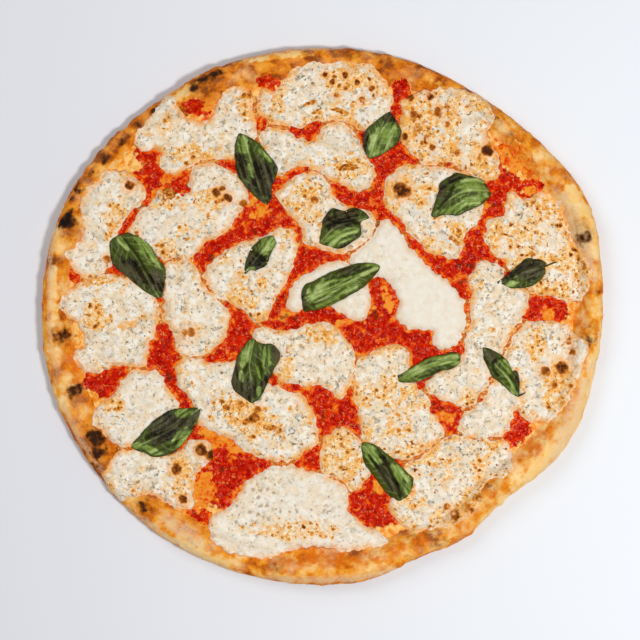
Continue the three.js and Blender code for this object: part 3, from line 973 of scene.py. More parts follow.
@dataclass(frozen=True)
class MeltedMozzarella(Finish):
    """Melted mozzarella: creamy, freckled and mottled, with toasted blisters and oily edges;
    painted shade lies in its hollows and along its very edge.
    """

    cream: Color = rgb(238, 217, 184)
    milk: Color = rgb(249, 241, 226)
    grey: Color = rgb(150, 142, 124)
    # Painted shade: soft grey for the hollows between lumps of cheese
    painted_hollow_shade: Color = rgb(216, 211, 198)
    plain: Color = rgb(236, 228, 212)
    warm: Color = rgb(246, 203, 128)
    blush: Color = rgb(236, 150, 44)
    freckle: Color = rgb(88, 66, 40)
    dull: Color = rgb(146, 106, 62)
    rust: Color = rgb(158, 84, 22)
    tan: Color = rgb(230, 150, 50)
    toast: Color = rgb(172, 92, 20)
    burnt: Color = rgb(74, 34, 8)
    halo: Color = rgb(247, 172, 76)
    # The edge's orange colour, darkened as painted shade where the slice meets the sauce
    oily_fringe_and_edge_shade: Color = rgb(214, 120, 36)
    roughness: float = 0.5
    shine: float = 0.09

    def material(self) -> bpy.types.Material:
        """Build the finish.

        Returns:
            Its material.
        """
        g = Graph("melted_mozzarella")
        calm, fried = g.attribute("calm"), g.attribute("fried")
        wild = g.math("SUBTRACT", 1.0, calm)
        g.color = g.mix(g.span(g.noise(5.5, 3.0, 0.55, 0.4), 0.4, 0.6), self.cream, self.milk)
        g.paint(self.plain, calm, 0.75)
        # Painted shade: soft grey patches, laid at random, for the hollows of the lumpy surface.
        g.paint(self.painted_hollow_shade, g.span(g.noise(7.5, 2.0, 0.5), 0.48, 0.7, 0.0, 0.6), wild)
        lively = g.span(g.noise(13.0, 2.0, 0.5), 0.38, 0.6, 0.25, 1.0)
        mottle = g.span(g.noise(3.4, 4.0, 0.62, 0.5), 0.49, 0.66, 0.0, 0.95)
        g.paint(self.grey, mottle, lively, wild)
        warmth = g.math("MULTIPLY_ADD", fried, 0.14, g.noise(5.2, 4.0, 0.6, 0.4))
        heated = g.math("MULTIPLY_ADD", fried, 0.7, g.times(g.times(lively, 0.4), wild))
        stains = g.ramp(
            g.noise(2.6, 4.0, 0.62, 0.5), (0.35, self.milk), (0.48, self.warm), (0.64, self.blush))
        g.paint(stains, g.span(warmth, 0.45, 0.63), heated)
        speck = g.span(g.noise(2.4, 4.0, 0.66), 0.57, 0.66)
        thick = g.span(g.noise(8.0, 2.0), 0.38, 0.6, 0.2, 1.0)
        speck = g.times(g.times(speck, thick), wild)
        g.paint(self.freckle, speck, 0.9)
        cloudy = g.span(g.noise(3.2, 4.0, 0.6, 0.5), 0.5, 0.74, 0.0, 0.72)
        bubble = g.spots(5.2, 0.6, 0.5, g.warped(2.6, 1.6))
        g.paint(self.dull, g.attribute("dimpled"), g.span(bubble, 0.2, 0.8, 0.0, 0.6))
        stain = g.times(g.math("MAXIMUM", cloudy, bubble), fried)
        stained = g.ramp(
            stain, (0.1, self.warm), (0.38, self.tan), (0.75, self.rust), (1.0, self.burnt))
        g.paint(stained, g.span(stain, 0.02, 0.4))
        g.paint(self.rust, g.span(g.noise(2.4, 3.0, 0.6), 0.6, 0.68), fried, 0.85)
        depth = g.attribute("depth")
        g.paint(self.milk, g.span(depth, 0.6, 2.4, 0.4, 0.0))
        # Orange along the very edge, darkened as painted contact shade.
        g.paint(self.oily_fringe_and_edge_shade, g.span(depth, 0.15, 1.0, 0.95, 0.0))
        uneven = g.span(g.noise(2.8, 3.0, 0.6), 0.3, 0.58, 0.3, 1.0)
        g.paint(self.halo, g.attribute("oil"), uneven)
        toast = g.attribute("toast")
        heat = g.plus(toast, g.times(g.swing(0.3, 1.7, 4.0, 0.7), toast))
        browned = g.ramp(heat, (0.2, self.tan), (0.56, self.toast), (0.95, self.burnt))
        g.paint(browned, g.span(heat, 0.05, 0.42))
        return self.dressed(g, g.bump(speck, -0.3, g.bump(g.noise(1.8, 3.0, 0.55), 0.4)))


@dataclass(frozen=True)
class WiltedBasil(Finish):
    """Basil warmed by the oven: bright where it stayed fresh, dark and grey where it wilted, with
    painted highlight on its fold ridges and painted shade in its fold troughs, its creases and
    along its edge.
    """

    green: Color = rgb(70, 82, 22)
    bright: Color = rgb(122, 146, 58)
    # pale: the veins' colour, and painted highlight on the fold ridges
    pale: Color = rgb(190, 206, 132)
    # deep: painted shade in the fold troughs
    deep: Color = rgb(38, 38, 6)
    wilted: Color = rgb(52, 46, 22)
    # Grey of the wilted parts, laid on their fold ridges as painted highlight
    greyed_fold_highlight: Color = rgb(78, 74, 46)
    # Near black: painted shade in the creases, and in the fold troughs where the leaf wilted.
    black: Color = rgb(20, 14, 2)
    # Painted shade along the leaf's edge
    edge: Color = rgb(44, 30, 8)
    roughness: float = 0.42
    shine: float = 0.16

    def material(self) -> bpy.types.Material:
        """Build the finish.

        Returns:
            Its material.
        """
        g = Graph("wilted_basil")
        bright = g.attribute("bright")
        g.color = g.mix(bright, self.green, self.bright)
        streak = g.attribute("streak")
        # Painted highlight on the ridges of the leaf's folds, and painted shade in their troughs.
        g.paint(self.pale, g.span(streak, 0.54, 0.86, 0.0, 0.75), bright)
        g.paint(self.deep, g.span(streak, 0.16, 0.44, 0.8, 0.0))
        g.paint(self.green, g.span(g.noise(2.0, 3.0, 0.6), 0.4, 0.7, 0.0, 0.4))
        # Where the leaf wilted: near black in the fold troughs as painted shade, grey on the ridges
        # as painted highlight.
        fold = g.plus(streak, g.swing(0.14, 1.6, 3.0, 0.6))
        dull = g.ramp(fold, (0.22, self.black), (0.44, self.wilted), (0.74, self.greyed_fold_highlight))
        g.paint(dull, g.attribute("wilt"))
        g.paint(self.pale, g.attribute("vein"), 0.6)
        # Painted shade in the creases.
        g.paint(self.black, g.attribute("crease_dip_and_shade"))
        # Painted shade along the leaf's edge, in uneven patches.
        painted_edge_shade = g.span(g.attribute("depth"), 0.0, 0.8, 1.0, 0.0)
        g.paint(self.edge, painted_edge_shade, g.span(g.noise(3.0, 2.0), 0.35, 0.65, 0.3, 0.9))
        return self.dressed(g, g.bump(g.noise(0.9, 2.0, 0.5), 0.12))


# ---- Dough ------------------------------------------------------------------------------------
@dataclass
class Crust:
    """The dough: a puffed, blistered rim around a flat floor."""

    node: str = "crust"
    around: int = 1248
    across: int = 64
    core_inset: float = 9.0  # from the outer edge to the line that the section is swept round
    core_height: float = 4.2
    outside: float = 260.0  # a distance from the middle beyond the rim
    first_angle: float = -90.0  # straight down
    last_angle: float = 177.5  # almost level, towards the middle
    floor_height: float = 4.4
    closing: tuple[float, ...] = (0.9, 0.72, 0.5, 0.26)  # sizes of the last rings to the middle
    lump: float = 0.55
    knob: float = 0.34
    grit: float = 0.14
    blisters: int = 170
    blister_radii: tuple[float, float] = (1.8, 5.0)
    blister_rise: float = 0.16  # as a share of the radius
    seed: int = 5
    baked: tuple[tuple[float, float], ...] = (
        (0, 0.42), (20, 0.34), (38, 0.5), (60, 0.72), (95, 0.66), (130, 0.7), (155, 0.5),
        (180, 0.4), (200, 0.56), (215, 0.68), (227, 0.66), (238, 0.44), (250, 0.5), (275, 0.52),
        (300, 0.46), (318, 0.26), (340, 0.26),
    )  # heading in degrees and how far the rim is baked there
    charred: Spots = (
        (-180, 66, 9.5, 1.15), (-169, 77, 4.5, 0.7), (-177, 94, 8, 0.6), (-182, 86, 5, 0.6),
        (-122, 150, 7, 0.6), (-146, 128, 8, 0.66), (-134, 139, 7, 0.6), (-91, 162, 9, 0.8),
        (-84, 168, 9, 0.7), (-77, 173, 8, 0.76), (-158, 114, 7, 0.62), (-166, 104, 6, 0.6),
        (19, 188, 6, 0.4), (44, 182, 6, 0.4), (123, 141, 8, 0.5), (134, 128, 7, 0.45),
        (184, 57, 8, 0.62), (196, 17, 3, 0.4), (188, -15, 9, 0.5), (116, -120, 7, 0.32),
        (65, -151, 9, 0.36), (79, -155, 8, 0.36), (-33, -177, 6, 0.3), (-127, -135, 8, 0.78),
        (-160, -85, 9, 0.78), (-161, -98, 9, 0.84), (-174, -52, 7, 0.72), (-184, -13, 8, 0.7),
        (-178, 2, 5, 0.5), (-168, -110, 9, 0.5), (-150, -122, 8, 0.5), (-190, 40, 6, 0.4),
        (96, 160, 7, 0.4),
    )
    pale: Blobs = (
        (186, 70, 28, 9, 115), (192, -50, 36, 8, 75), (152, -114, 44, 12, 48),
        (-88, -172, 30, 9, -28), (104, 154, 24, 5, -34), (-30, 188, 24, 4, 4),
        (-190, 15, 22, 5, 90), (-100, 158, 14, 6, 35), (-150, 96, 24, 5, 58),
    )
    floury: Blobs = (
        (-194, 20, 60, 4, 92), (-100, -170, 62, 8, -32), (-170, -92, 40, 6, -58),
        (-40, 193, 60, 3.4, 6), (10, -188, 60, 5, 4),
    )
    dusted: Blobs = (
        (-96, -152, 22, 6, -34), (178, 60, 40, 7, 112), (176, -76, 44, 9, 68),
    )
    stained: Blobs = (
        (-113, 120, 13, 6, 40), (-146, 42, 4, 18, 0), (139, 104, 22, 12, 120),
        (170, 2, 14, 12, 90), (152, -86, 14, 8, 45), (-176, 33, 12, 7, 90),
        (-142, -120, 10, 5, -45), (-80, 168, 16, 7, 30), (40, 174, 34, 6, -8), (176, 30, 6, 24, 8),
        (0, -172, 40, 6, 0), (60, -162, 26, 6, 20), (184, -36, 12, 6, 80), (172, -60, 8, 6, 60),
        (-176, -30, 22, 6, 95),
    )
    surface: BVHTree = field(init=False)

    def _smoothed(self) -> BVHTree:
        """Round a copy of the node.

        Returns:
            An index of its surface.
        """
        copy = add_object("rounded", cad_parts[self.node].data.copy())
        deselect_all()
        copy.select_set(True)
        bpy.context.view_layer.objects.active = copy
        bpy.ops.object.mode_set(mode="EDIT")
        bpy.ops.mesh.select_all(action="SELECT")
        bpy.ops.mesh.remove_doubles(threshold=HAIR)
        bpy.ops.object.mode_set(mode="OBJECT")
        rounding = copy.modifiers.new("rounding", "SUBSURF")
        rounding.levels = 2
        rounding.render_levels = 2
        bpy.ops.object.modifier_apply(modifier=rounding.name)
        surface = surface_of(copy)
        bpy.data.objects.remove(copy)
        return surface

    def _sweep(self, surface: BVHTree) -> tuple[np.ndarray, np.ndarray]:
        """Read the section of the rim all the way round.

        Args:
            surface: The plain surface.

        Returns:
            The points, in rows along the rim, and the direction in which each was found.
        """
        halvings = 2 ** len(self.closing)
        around = halvings * round(self.around / halvings / COARSER)
        across = round(self.across / COARSER)
        angles = np.radians(np.linspace(self.first_angle, self.last_angle, across))
        places = np.empty((around, across, 3))
        outward = np.empty((around, across, 3))
        level = Vector((0.0, 0.0, self.core_height))
        for row, heading in enumerate(np.linspace(0.0, 2 * math.pi, around, endpoint=False)):
            away = Vector((math.cos(heading), math.sin(heading), 0.0))
            edge = surface.ray_cast(away * self.outside + level, -away)[0]
            core = edge - away * self.core_inset
            for column, angle in enumerate(angles):
                ray = away * math.cos(angle) + Vector((0.0, 0.0, math.sin(angle)))
                places[row, column] = surface.ray_cast(core, ray)[0]
                outward[row, column] = ray
        return places, outward

    def _relief(self, places: np.ndarray) -> np.ndarray:
        """Work out how far the baked surface stands proud of the plain one.

        Args:
            places: Points on the plain surface.

        Returns:
            How far each of them moves out.
        """
        relief = NOISE.rough(places, 11.0) * self.lump
        relief += OTHER_NOISE.rough(places, 4.2) * self.knob
        relief += THIRD_NOISE.at(places, 1.5) * self.grit
        draw = np.random.default_rng(self.seed)
        picks = places[draw.integers(0, len(places), self.blisters), :2]
        radii = draw.uniform(*self.blister_radii, self.blisters)
        bumps = [((x, y), 0.9 * radius, 0.9) for x, y, radius, _ in self.charred]
        bumps += zip(picks, radii, radii * self.blister_rise)
        for middle, radius, height in bumps:
            near, _, reach = near_to(places, middle, radius, 1.0)
            relief[near] += height * np.clip(1.0 - reach**2, 0.0, 1.0) ** 1.5
        return relief

    def build(self, material: bpy.types.Material) -> None:
        """Make the dough and keep an index of its surface.

        Args:
            material: Its finish.
        """
        places, outward = self._sweep(self._smoothed())
        flat = places.reshape(-1, 3)
        free = ease(flat[:, 2], 0.2, 4.0)
        flat += outward.reshape(-1, 3) * (self._relief(flat) * free)[:, None]
        flat[:, 2] = np.maximum(flat[:, 2], 0.0)
        rows = [places[:, column] for column in range(places.shape[1])]
        floor = self._closing_rings(rows[-1], self.floor_height)
        base = self._closing_rings(rows[0], 0.0)
        self._make(base[::-1] + rows + floor, material)

    def _closing_rings(self, ring: np.ndarray, height: float) -> list[np.ndarray]:
        """Close a ring towards the middle with rings of half as many points each.

        Args:
            ring: The outermost points.
            height: Height of the rings.

        Returns:
            The rings, from the outer one to the last.
        """
        rings = [ring[:: 2 ** (order + 1)] * share for order, share in enumerate(self.closing)]
        for closer in rings:
            closer[:, 2] = height
        return rings

    def _make(self, stack: list[np.ndarray], material: bpy.types.Material) -> None:
        """Join the rings into one closed body and dress it.

        Args:
            stack: The rings, from the middle of the base round the rim to the middle of the floor.
            material: Its finish.
        """
        places = np.vstack(stack)
        ends = np.cumsum([len(ring) for ring in stack]).tolist()
        rings = [range(end - len(ring), end) for end, ring in zip(ends, stack)]
        faces = [face for pair in zip(rings, rings[1:]) for face in join_rings(*pair)]
        faces += [list(rings[0])[::-1], list(rings[-1])]
        piece = new_piece("crust_baked", places, faces)
        marks = self._finish(places)
        self.surface = finish_piece(piece, marks, material, self.node)

    def _finish(self, places: np.ndarray) -> dict[str, np.ndarray]:
        """Work out how the surface is baked.

        Args:
            places: Points on it.

        Returns:
            Numbers for each point, by the name that the finish reads.
        """
        low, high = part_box(self.node)
        half = (np.array(high) - np.array(low))[:2] / MM / 2
        share = np.linalg.norm(places[:, :2] / half, axis=1)
        outer = ease(share, 0.93, 0.99) * ease(-places[:, 2], -9.0, -2.0)
        reach = np.maximum(np.linalg.norm(places[:, :2], axis=1), 1.0)
        drop = np.clip(high[2] / MM - places[:, 2], 0.0, None) * ease(share, 0.94, 0.97)
        unrolled = places[:, :2] * (1.0 + drop / reach)[:, None]
        under = ease(-places[:, 2], -2.5, -0.5)
        heading = np.degrees(np.arctan2(places[:, 1], places[:, 0]))
        turns, levels = zip(*self.baked)
        level = np.interp(heading, turns, levels, period=360)
        bake = level + 0.3 * NOISE.rough(places, 19.0) + 0.12 * OTHER_NOISE.rough(places, 8.0)
        bake = bake - 0.5 * patched(unrolled, self.pale, 0.5)
        halo = [(x, y, 1.8 * radius, 0.3) for x, y, radius, _ in self.charred]
        char = np.maximum(spotted(unrolled, self.charred, 0.5), spotted(unrolled, halo, 0.5))
        tanned = level * ease(share, 0.9, 0.96)
        scorch = ease(OTHER_NOISE.rough(places, 10.0), 0.15, 0.7) * tanned * 0.45
        spots = ease(THIRD_NOISE.rough(places, 13.0), 0.3, 0.62) * under * 0.6
        char = np.maximum.reduce([char, scorch, spots])
        flour = patched(unrolled, self.floury, 0.4) * ease(share, 0.94, 0.98)
        flour = np.maximum(flour, patched(unrolled, self.dusted, 0.4))
        flour = np.clip(flour + 0.3 * outer + 0.5 * under, 0.0, 1.0)
        flour *= 1.0 - ease(char, 0.3, 0.8)
        inner = 1.0 - ease(share, 0.9, 0.96)
        glazed = ease(THIRD_NOISE.rough(places, 9.0), 0.2, 0.6) * 0.5
        stain = np.maximum(patched(unrolled, self.stained, 0.6), glazed) * inner * 0.85
        return {"bake": np.clip(bake, 0, 1), "char": char, "flour": flour, "stain": stain}


def join_rings(first: range, second: range) -> Faces:
    """Join two rings of points, of which one may have half as many points as the other.

    Args:
        first: Numbers of the first ring's points.
        second: Numbers of the second ring's points.

    Returns:
        The faces between them, facing away from the ring's core.
    """
    if len(first) == len(second):
        after = [*first[1:], first[0]], [*second[1:], second[0]]
        return [list(face) for face in zip(first, *after, second)]
    faces = []
    flipped = len(first) < len(second)
    many, few = (second, first) if flipped else (first, second)
    for index, here in enumerate(few):
        start, middle, end = (many[(2 * index + step) % len(many)] for step in range(3))
        after = few[(index + 1) % len(few)]
        group = [[start, middle, here], [middle, after, here], [middle, end, after]]
        faces += [face[::-1] for face in group] if flipped else group
    return faces


# ---- Sauce ------------------------------------------------------------------------------------
@dataclass
class Sauce:
    """The sauce between the slices, thin and oily in places and drawn up the rim in others."""

    node: str = "tomato_sauce"
    corners: int = 220  # of its outline
    step: float = 0.85
    coarse_step: float = 5.0
    shown: float = 1.6  # how deep under a slice the mesh is fine
    hidden: float = 2.2  # and from where it is coarse
    reach: float = 15.0  # how far it may climb beyond its solid
    skin: float = 0.35  # how far it stands above its solid
    coat: float = 0.5  # how thick it lies on the rim
    lump: float = 0.55
    grain: float = 0.6
    bottom: float = 4.9
    thinnest: float = 0.3
    oily: Blobs = (
        (-111, 98, 5, 4, 30), (-84, -122, 9, 15, -10), (-62, -92, 8, 5, 0), (160, 3, 5, 6, 0),
        (150, 105, 9, 6, 120), (-68, 30, 7, 5, 20), (148, -88, 7, 5, 45), (-30, 20, 6, 4, 60),
        (-50, 84, 9, 4, 45), (66, 84, 6, 5, 0), (40, -120, 6, 5, 0), (-44, 74, 8, 5, 30),
        (88, -72, 6, 4, -50), (-163, 27, 3, 8, 0), (-26, 0, 5, 4, 0), (-10, 62, 6, 4, 0),
        (46, 12, 4, 9, 20), (28, 3, 9, 4, 10), (16, -4, 8, 4, 20), (-96, -146, 14, 6, -20),
        (137, 112, 19, 9, -45), (146, 89, 5, 4, 0), (-79, 149, 8, 5, 0), (-78, -84, 14, 7, -30),
        (-116, 84, 6, 7, 0), (110, 78, 8, 5, 20), (-36, 154, 8, 4, 10),
    )
    climbing: Blobs = (
        (-87, 147, 13, 6, 5), (-174, 28, 8, 6, 90), (136, 112, 18, 8, -45), (133, 92, 10, 9, 130),
        (148, 90, 9, 8, 110), (166, 5, 9, 9, 90), (-157, -46, 14, 10, -40), (139, -81, 9, 8, 50),
        (-86, -140, 12, 6, -30), (-39, 164, 8, 6, 10), (56, 158, 9, 8, 90), (-124, 97, 12, 10, 60),
        (-122, 113, 11, 8, -35),
    )
    smeared: Blobs = (
        (150, 112, 16, 5, -45), (156, -92, 12, 7, 45), (-152, 98, 28, 9, 58),
        (60, 172, 22, 6, -14), (-90, 158, 18, 6, 36), (172, 40, 24, 5, 95),
    )  # where the dough shows golden through almost no sauce
    seam: tuple[float, float] = (1.8, 3.6)  # widths of gaps that cheese has run across, and not
    seam_rise: float = 1.1

    def build(self, crust: Crust, loops: list[np.ndarray], material: bpy.types.Material) -> BVHTree:
        """Make the sauce.

        Args:
            crust: The dough that it lies on.
            loops: Outlines of the slices that cover it.
            material: Its finish.

        Returns:
            An index of its surface.
        """
        low, high = (np.array(corner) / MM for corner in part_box(self.node))
        middle, half = (low + high)[:2] / 2, (high - low)[:2] / 2
        turn = np.linspace(0.0, 2 * math.pi, self.corners, endpoint=False)
        outline = middle + np.column_stack([np.cos(turn), np.sin(turn)]) * (half + self.reach)
        places, faces = self._mesh(outline, loops)
        cover, second = covered_depth(places, loops)
        seam = (1.0 - ease(-cover - second, *self.seam)) * ease(-cover, -1.5, 0.0)
        ground = height_on([crust.surface], places)
        climb = patched(places, self.climbing, 0.4)
        share = np.linalg.norm((places - middle) / half, axis=1) + 0.02 * NOISE.rough(places, 9.0)
        pulp = self.lump * NOISE.rough(places, 5.0) + self.grain * OTHER_NOISE.rough(places, 2.6)
        thin = np.maximum(1.1 * patched(places, self.oily, 0.5), 0.66 * ease(cover, -3.6, -0.3))
        thin = np.maximum(thin, 0.2 + 0.5 * NOISE.rough(places, 9.0)) * ease(-cover, -3.0, 0.0)
        bare = patched(places, self.smeared, 0.5) * (1.0 - climb)
        bare = np.maximum(bare, ease(share, 0.93, 0.98) * (1.0 - climb))
        height = high[2] + self.skin + pulp * (1.0 - 0.55 * np.maximum(thin, bare))
        height += self.seam_rise * seam - 0.5 * ease(cover, 0.3, 1.8)
        draped = ground + self.coat + 0.7 * pulp
        rim = ease(ground, high[2] - 1.2, high[2] + 0.2) * ease(climb, 0.15, 0.6)
        risen = ground - 1.0 + rim * (draped - ground + 1.0)
        height = np.where(rim > 0, np.maximum(height, risen), height)
        beyond = ease(share, 1.0, 1.02) * (1.0 - ease(climb, 0.2, 0.6))
        height += (np.minimum(height, ground - 0.8) - height) * beyond
        height = np.maximum(height, self.bottom + self.thinnest)
        char = 0.7 * ease(OTHER_NOISE.rough(places, 6.0), 0.62, 0.85)
        marks = {"thin": thin, "bare": bare, "seam": seam, "char": char}
        return self._make(places, height, faces, marks, material)

    def _make(
        self, places: np.ndarray, height: np.ndarray, faces: Faces,
        marks: dict[str, np.ndarray], material: bpy.types.Material,
    ) -> BVHTree:
        """Close the sauce with walls and an underside and dress it.

        Args:
            places: Points on the plan.
            height: The height of each.
            faces: Triangles between them.
            marks: Numbers for the finish.
            material: Its finish.

        Returns:
            An index of its surface.
        """
        edges = open_edges(faces)
        rim = points_of(edges)
        number = {index: len(places) + order for order, index in enumerate(rim)}
        upper = np.column_stack([places, height])
        lower = np.column_stack([places[rim], np.full(len(rim), self.bottom)])
        walls = [[start, number[start], number[end], end] for start, end in edges]
        bottom = [number[index] for index in walk_round(edges)]
        everything = faces + walls + [bottom[::-1]]
        piece = new_piece("tomato_sauce_cooked", np.vstack([upper, lower]), everything)
        return finish_piece(piece, marks, material, self.node)

    def _mesh(self, outline: np.ndarray, loops: list[np.ndarray]) -> tuple[np.ndarray, Faces]:
        """Fill the outline finely where the sauce shows and coarsely where it is covered.

        Args:
            outline: Corners of the outline.
            loops: Outlines of the slices.

        Returns:
            Points on the plan and the triangles between them.
        """
        fine = inside(outline, self.step * COARSER, 1.0 / COARSER)
        fine = fine[covered_depth(fine, loops)[0] < self.shown]
        coarse = inside(outline, self.coarse_step, 0.5)
        coarse = coarse[covered_depth(coarse, loops)[0] > self.hidden]
        return filled(outline, np.vstack([fine, coarse]))


def covered_depth(places: np.ndarray, loops: list[np.ndarray]) -> tuple[np.ndarray, np.ndarray]:
    """Measure how deep points lie under the slices.

    Args:
        places: Points on the plan.
        loops: Outlines of the slices.

    Returns:
        Distance in from the edge of the slice over each point, or minus the distance to the
        nearest slice, as far as one is looked for, and the same for the next nearest slice.
    """
    first = np.full(len(places), -UNCOVERED)
    second = first.copy()
    for loop in loops:
        low, high = loop.min(axis=0) - UNCOVERED, loop.max(axis=0) + UNCOVERED
        near = np.all((places > low) & (places < high), axis=1)
        depth = depth_inside(places[near], loop)
        second[near] = np.maximum(second[near], np.minimum(first[near], depth))
        first[near] = np.maximum(first[near], depth)
    return first, second


# ---- Mozzarella -------------------------------------------------------------------------------
@dataclass
class Slice:
    """One melted slice of mozzarella."""

    name: str
    thickness: float = 3.0
    toasting: float = 0.5  # how much of it has browned
    calm: float = 0.0  # 1 is smooth and plain, 0 is freckled and mottled
    loop: np.ndarray = field(init=False)

    @property
    def node(self) -> str:
        """Name of its solid."""
        return f"mozzarella_{self.name}"

    def outline(self, swings: Sequence[tuple[float, float]], growth: float) -> np.ndarray:
        """Draw its ragged outline.

        Args:
            swings: Size of the lobes and how far they swing, for each size of lobe.
            growth: How far it runs past the solid's.

        Returns:
            Corners of the outline.
        """
        smooth = curve_through(upper_outline(self.node).tolist(), 0.9 * COARSER, closed=True)
        self.loop = ragged(smooth, swings, growth)
        return self.loop


@dataclass
class Cheese:
    """All the melted slices, with the blisters and scorched patches baked into them."""

    step: float = 0.62
    swings: tuple[tuple[float, float], ...] = ((8.0, 1.2), (3.6, 1.3), (1.7, 0.7))
    growth: float = 1.3  # how far the thin edges run past the solid's
    sunk: float = 0.6  # how far the edges lie below what carries them
    lip: float = 2.0  # how far in an edge rounds up to the slice's thickness
    overhang: float = 6.5  # height at which a slice juts out past the dough
    swell: float = 0.16  # as a share of the thickness
    ripple: float = 0.26
    grit: float = 0.1
    blister_rise: float = 0.18  # as a share of the radius
    slices: tuple[Slice, ...] = (
        Slice("north_west", 2.8, 0.5), Slice("north", 2.6, 0.8), Slice("north_inner", 3.0, 0.4),
        Slice("north_east", 3.0, 1.1), Slice("east_inner", 3.0, 0.85), Slice("east", 2.8, 1.2),
        Slice("east_lower", 3.2, 0.5, 0.1), Slice("centre_right", 3.6, 0.05, 0.9),
        Slice("centre", 3.2, 0.1, 0.7), Slice("centre_top", 3.0, 0.7, 0.1),
        Slice("centre_left", 3.0, 0.7), Slice("west_inner", 3.2, 0.4),
        Slice("west_upper", 3.2, 0.55, 0.2), Slice("west_rim", 3.2, 0.6, 0.2),
        Slice("west", 3.4, 0.45, 0.1), Slice("south_west", 3.2, 0.35, 0.2),
        Slice("south_west_rim", 3.0, 0.5), Slice("south_west_inner", 3.2, 0.55),
        Slice("south_centre", 3.0, 0.5), Slice("south_east_inner", 3.0, 0.85),
        Slice("south_east_rim", 3.2, 0.65, 0.1), Slice("south_east", 3.0, 1.0),
        Slice("south", 3.4, 0.1, 0.5), Slice("south_inner", 3.0, 1.2),
    )
    blisters: Spots = (
        (-136, 93, 4.6, 1.0), (2, 171, 2.6, 0.9), (16, 170, 2.6, 0.9), (7, 165, 2.4, 0.8),
        (24, 165, 2.4, 0.9), (35, 161, 2.6, 0.8), (16, 161, 2.2, 0.7), (62, 155, 3.4, 0.9),
        (76, 155, 3.2, 0.9), (88, 147, 2.8, 0.7), (116, 117, 5.2, 1.0), (58, 127, 3.4, 0.9),
        (56, 89, 6.4, 1.0), (-95, -12, 5.8, 0.7), (169, -36, 5.4, 0.9), (157, -39, 4.4, 0.75),
        (174, -17, 3.2, 0.7), (176, -25, 3.0, 0.7), (-102, -107, 5.0, 0.8), (-86, -94, 4.6, 1.0),
        (-78, -97, 5.0, 1.0), (-98, -129, 3.6, 0.8), (93, -140, 4.4, 0.8), (103, -135, 3.8, 0.7),
        (110, -127, 3.4, 0.6), (164, -48, 3.4, 0.6), (-48, -72, 4.0, 0.9), (-152, 40, 3.0, 0.6),
        (-75, 87, 3.4, 0.8), (-67, 84, 3.6, 0.95), (-56, 80, 3.6, 0.55), (-131, 58, 2.6, 0.7),
        (179, -10, 2.6, 0.6), (-71, 90, 2.6, 0.7), (81, 144, 3.6, 0.7), (67, 133, 3.8, 0.62),
        (64, 143, 3.0, 0.65), (88, 136, 2.6, 0.6), (73, 126, 2.4, 0.5), (77, 119, 2.6, 0.7),
        (95, 116, 2.6, 0.55), (28, 153, 2.6, 0.7), (10, 156, 2.4, 0.6), (88, -134, 3.0, 0.6),
        (-46, -66, 3.4, 0.6), (-58, -62, 3.0, 0.6), (-31, -80, 3.0, 0.6), (-6, 82, 3.0, 0.6),
    )
    scorched: Blobs = (
        (-55, 156, 5, 3, 20), (92, 55, 7, 2, -45), (-73, 81, 4, 2, 30), (18, 105, 6, 3, 0),
        (-67, -64, 4, 2.4, 0), (-53, -73, 4, 2.4, 30), (-37, -79, 4, 2.4, 0),
        (-10, 150, 7, 1.7, 20), (-5, 144.5, 5, 1.5, 35), (12, 145, 8, 1.7, -10),
        (-136, 32, 14, 2.6, 20), (-108, 90, 9, 6, 60),
    )
    bright: Blobs = ((-138, -6, 7, 3, 15), (-41, 119, 2, 2, 0))
    browned: Blobs = (
        (67, 138, 19, 13, 20), (-81, 83, 12, 9, 0), (-93, 114, 18, 7, 0), (-52, 149, 9, 13, 0),
        (-53, -71, 26, 12, -30), (-100, -113, 8, 18, 0), (-145, 65, 9, 18, 0),
        (-153, 28, 16, 5, 15), (67, -98, 18, 9, 10), (60, -52, 8, 7, 0), (108, -129, 18, 8, 30),
        (168, -50, 12, 20, 0), (178, 47, 7, 32, 5), (-58, 10, 10, 10, 0), (18, 167, 19, 8, 0),
        (20, 106, 18, 8, 0), (96, 60, 10, 8, -45), (-10, 90, 10, 7, 0), (134, 58, 12, 10, 0),
        (100, -62, 12, 6, 40), (-20, -150, 30, 8, 0), (-110, 45, 8, 10, 0), (150, -20, 8, 12, 0),
        (30, 85, 8, 5, 0), (-4, -11, 15, 8, -28), (-24, -35, 5, 13, 0), (46, -52, 10, 12, 0),
        (-148, -60, 8, 10, 0), (144, 30, 14, 8, 20), (-160, 0, 10, 12, 0),
    )  # where the slices browned and bubbled most
    dimpled: Blobs = (
        (-48, -134, 34, 24, 0), (2, -144, 30, 14, 10), (60, -128, 14, 20, 0),
    )

    def outlines(self) -> list[np.ndarray]:
        """Draw the outline of every slice."""
        return [each.outline(self.swings, self.growth) for each in self.slices]

    def build(self, carriers: list[BVHTree], material: bpy.types.Material) -> list[BVHTree]:
        """Make every slice.

        Args:
            carriers: Surfaces of the dough and the sauce under them.
            material: Their finish.

        Returns:
            An index of each slice's surface.
        """
        return [self._slice(each, carriers, material) for each in self.slices]

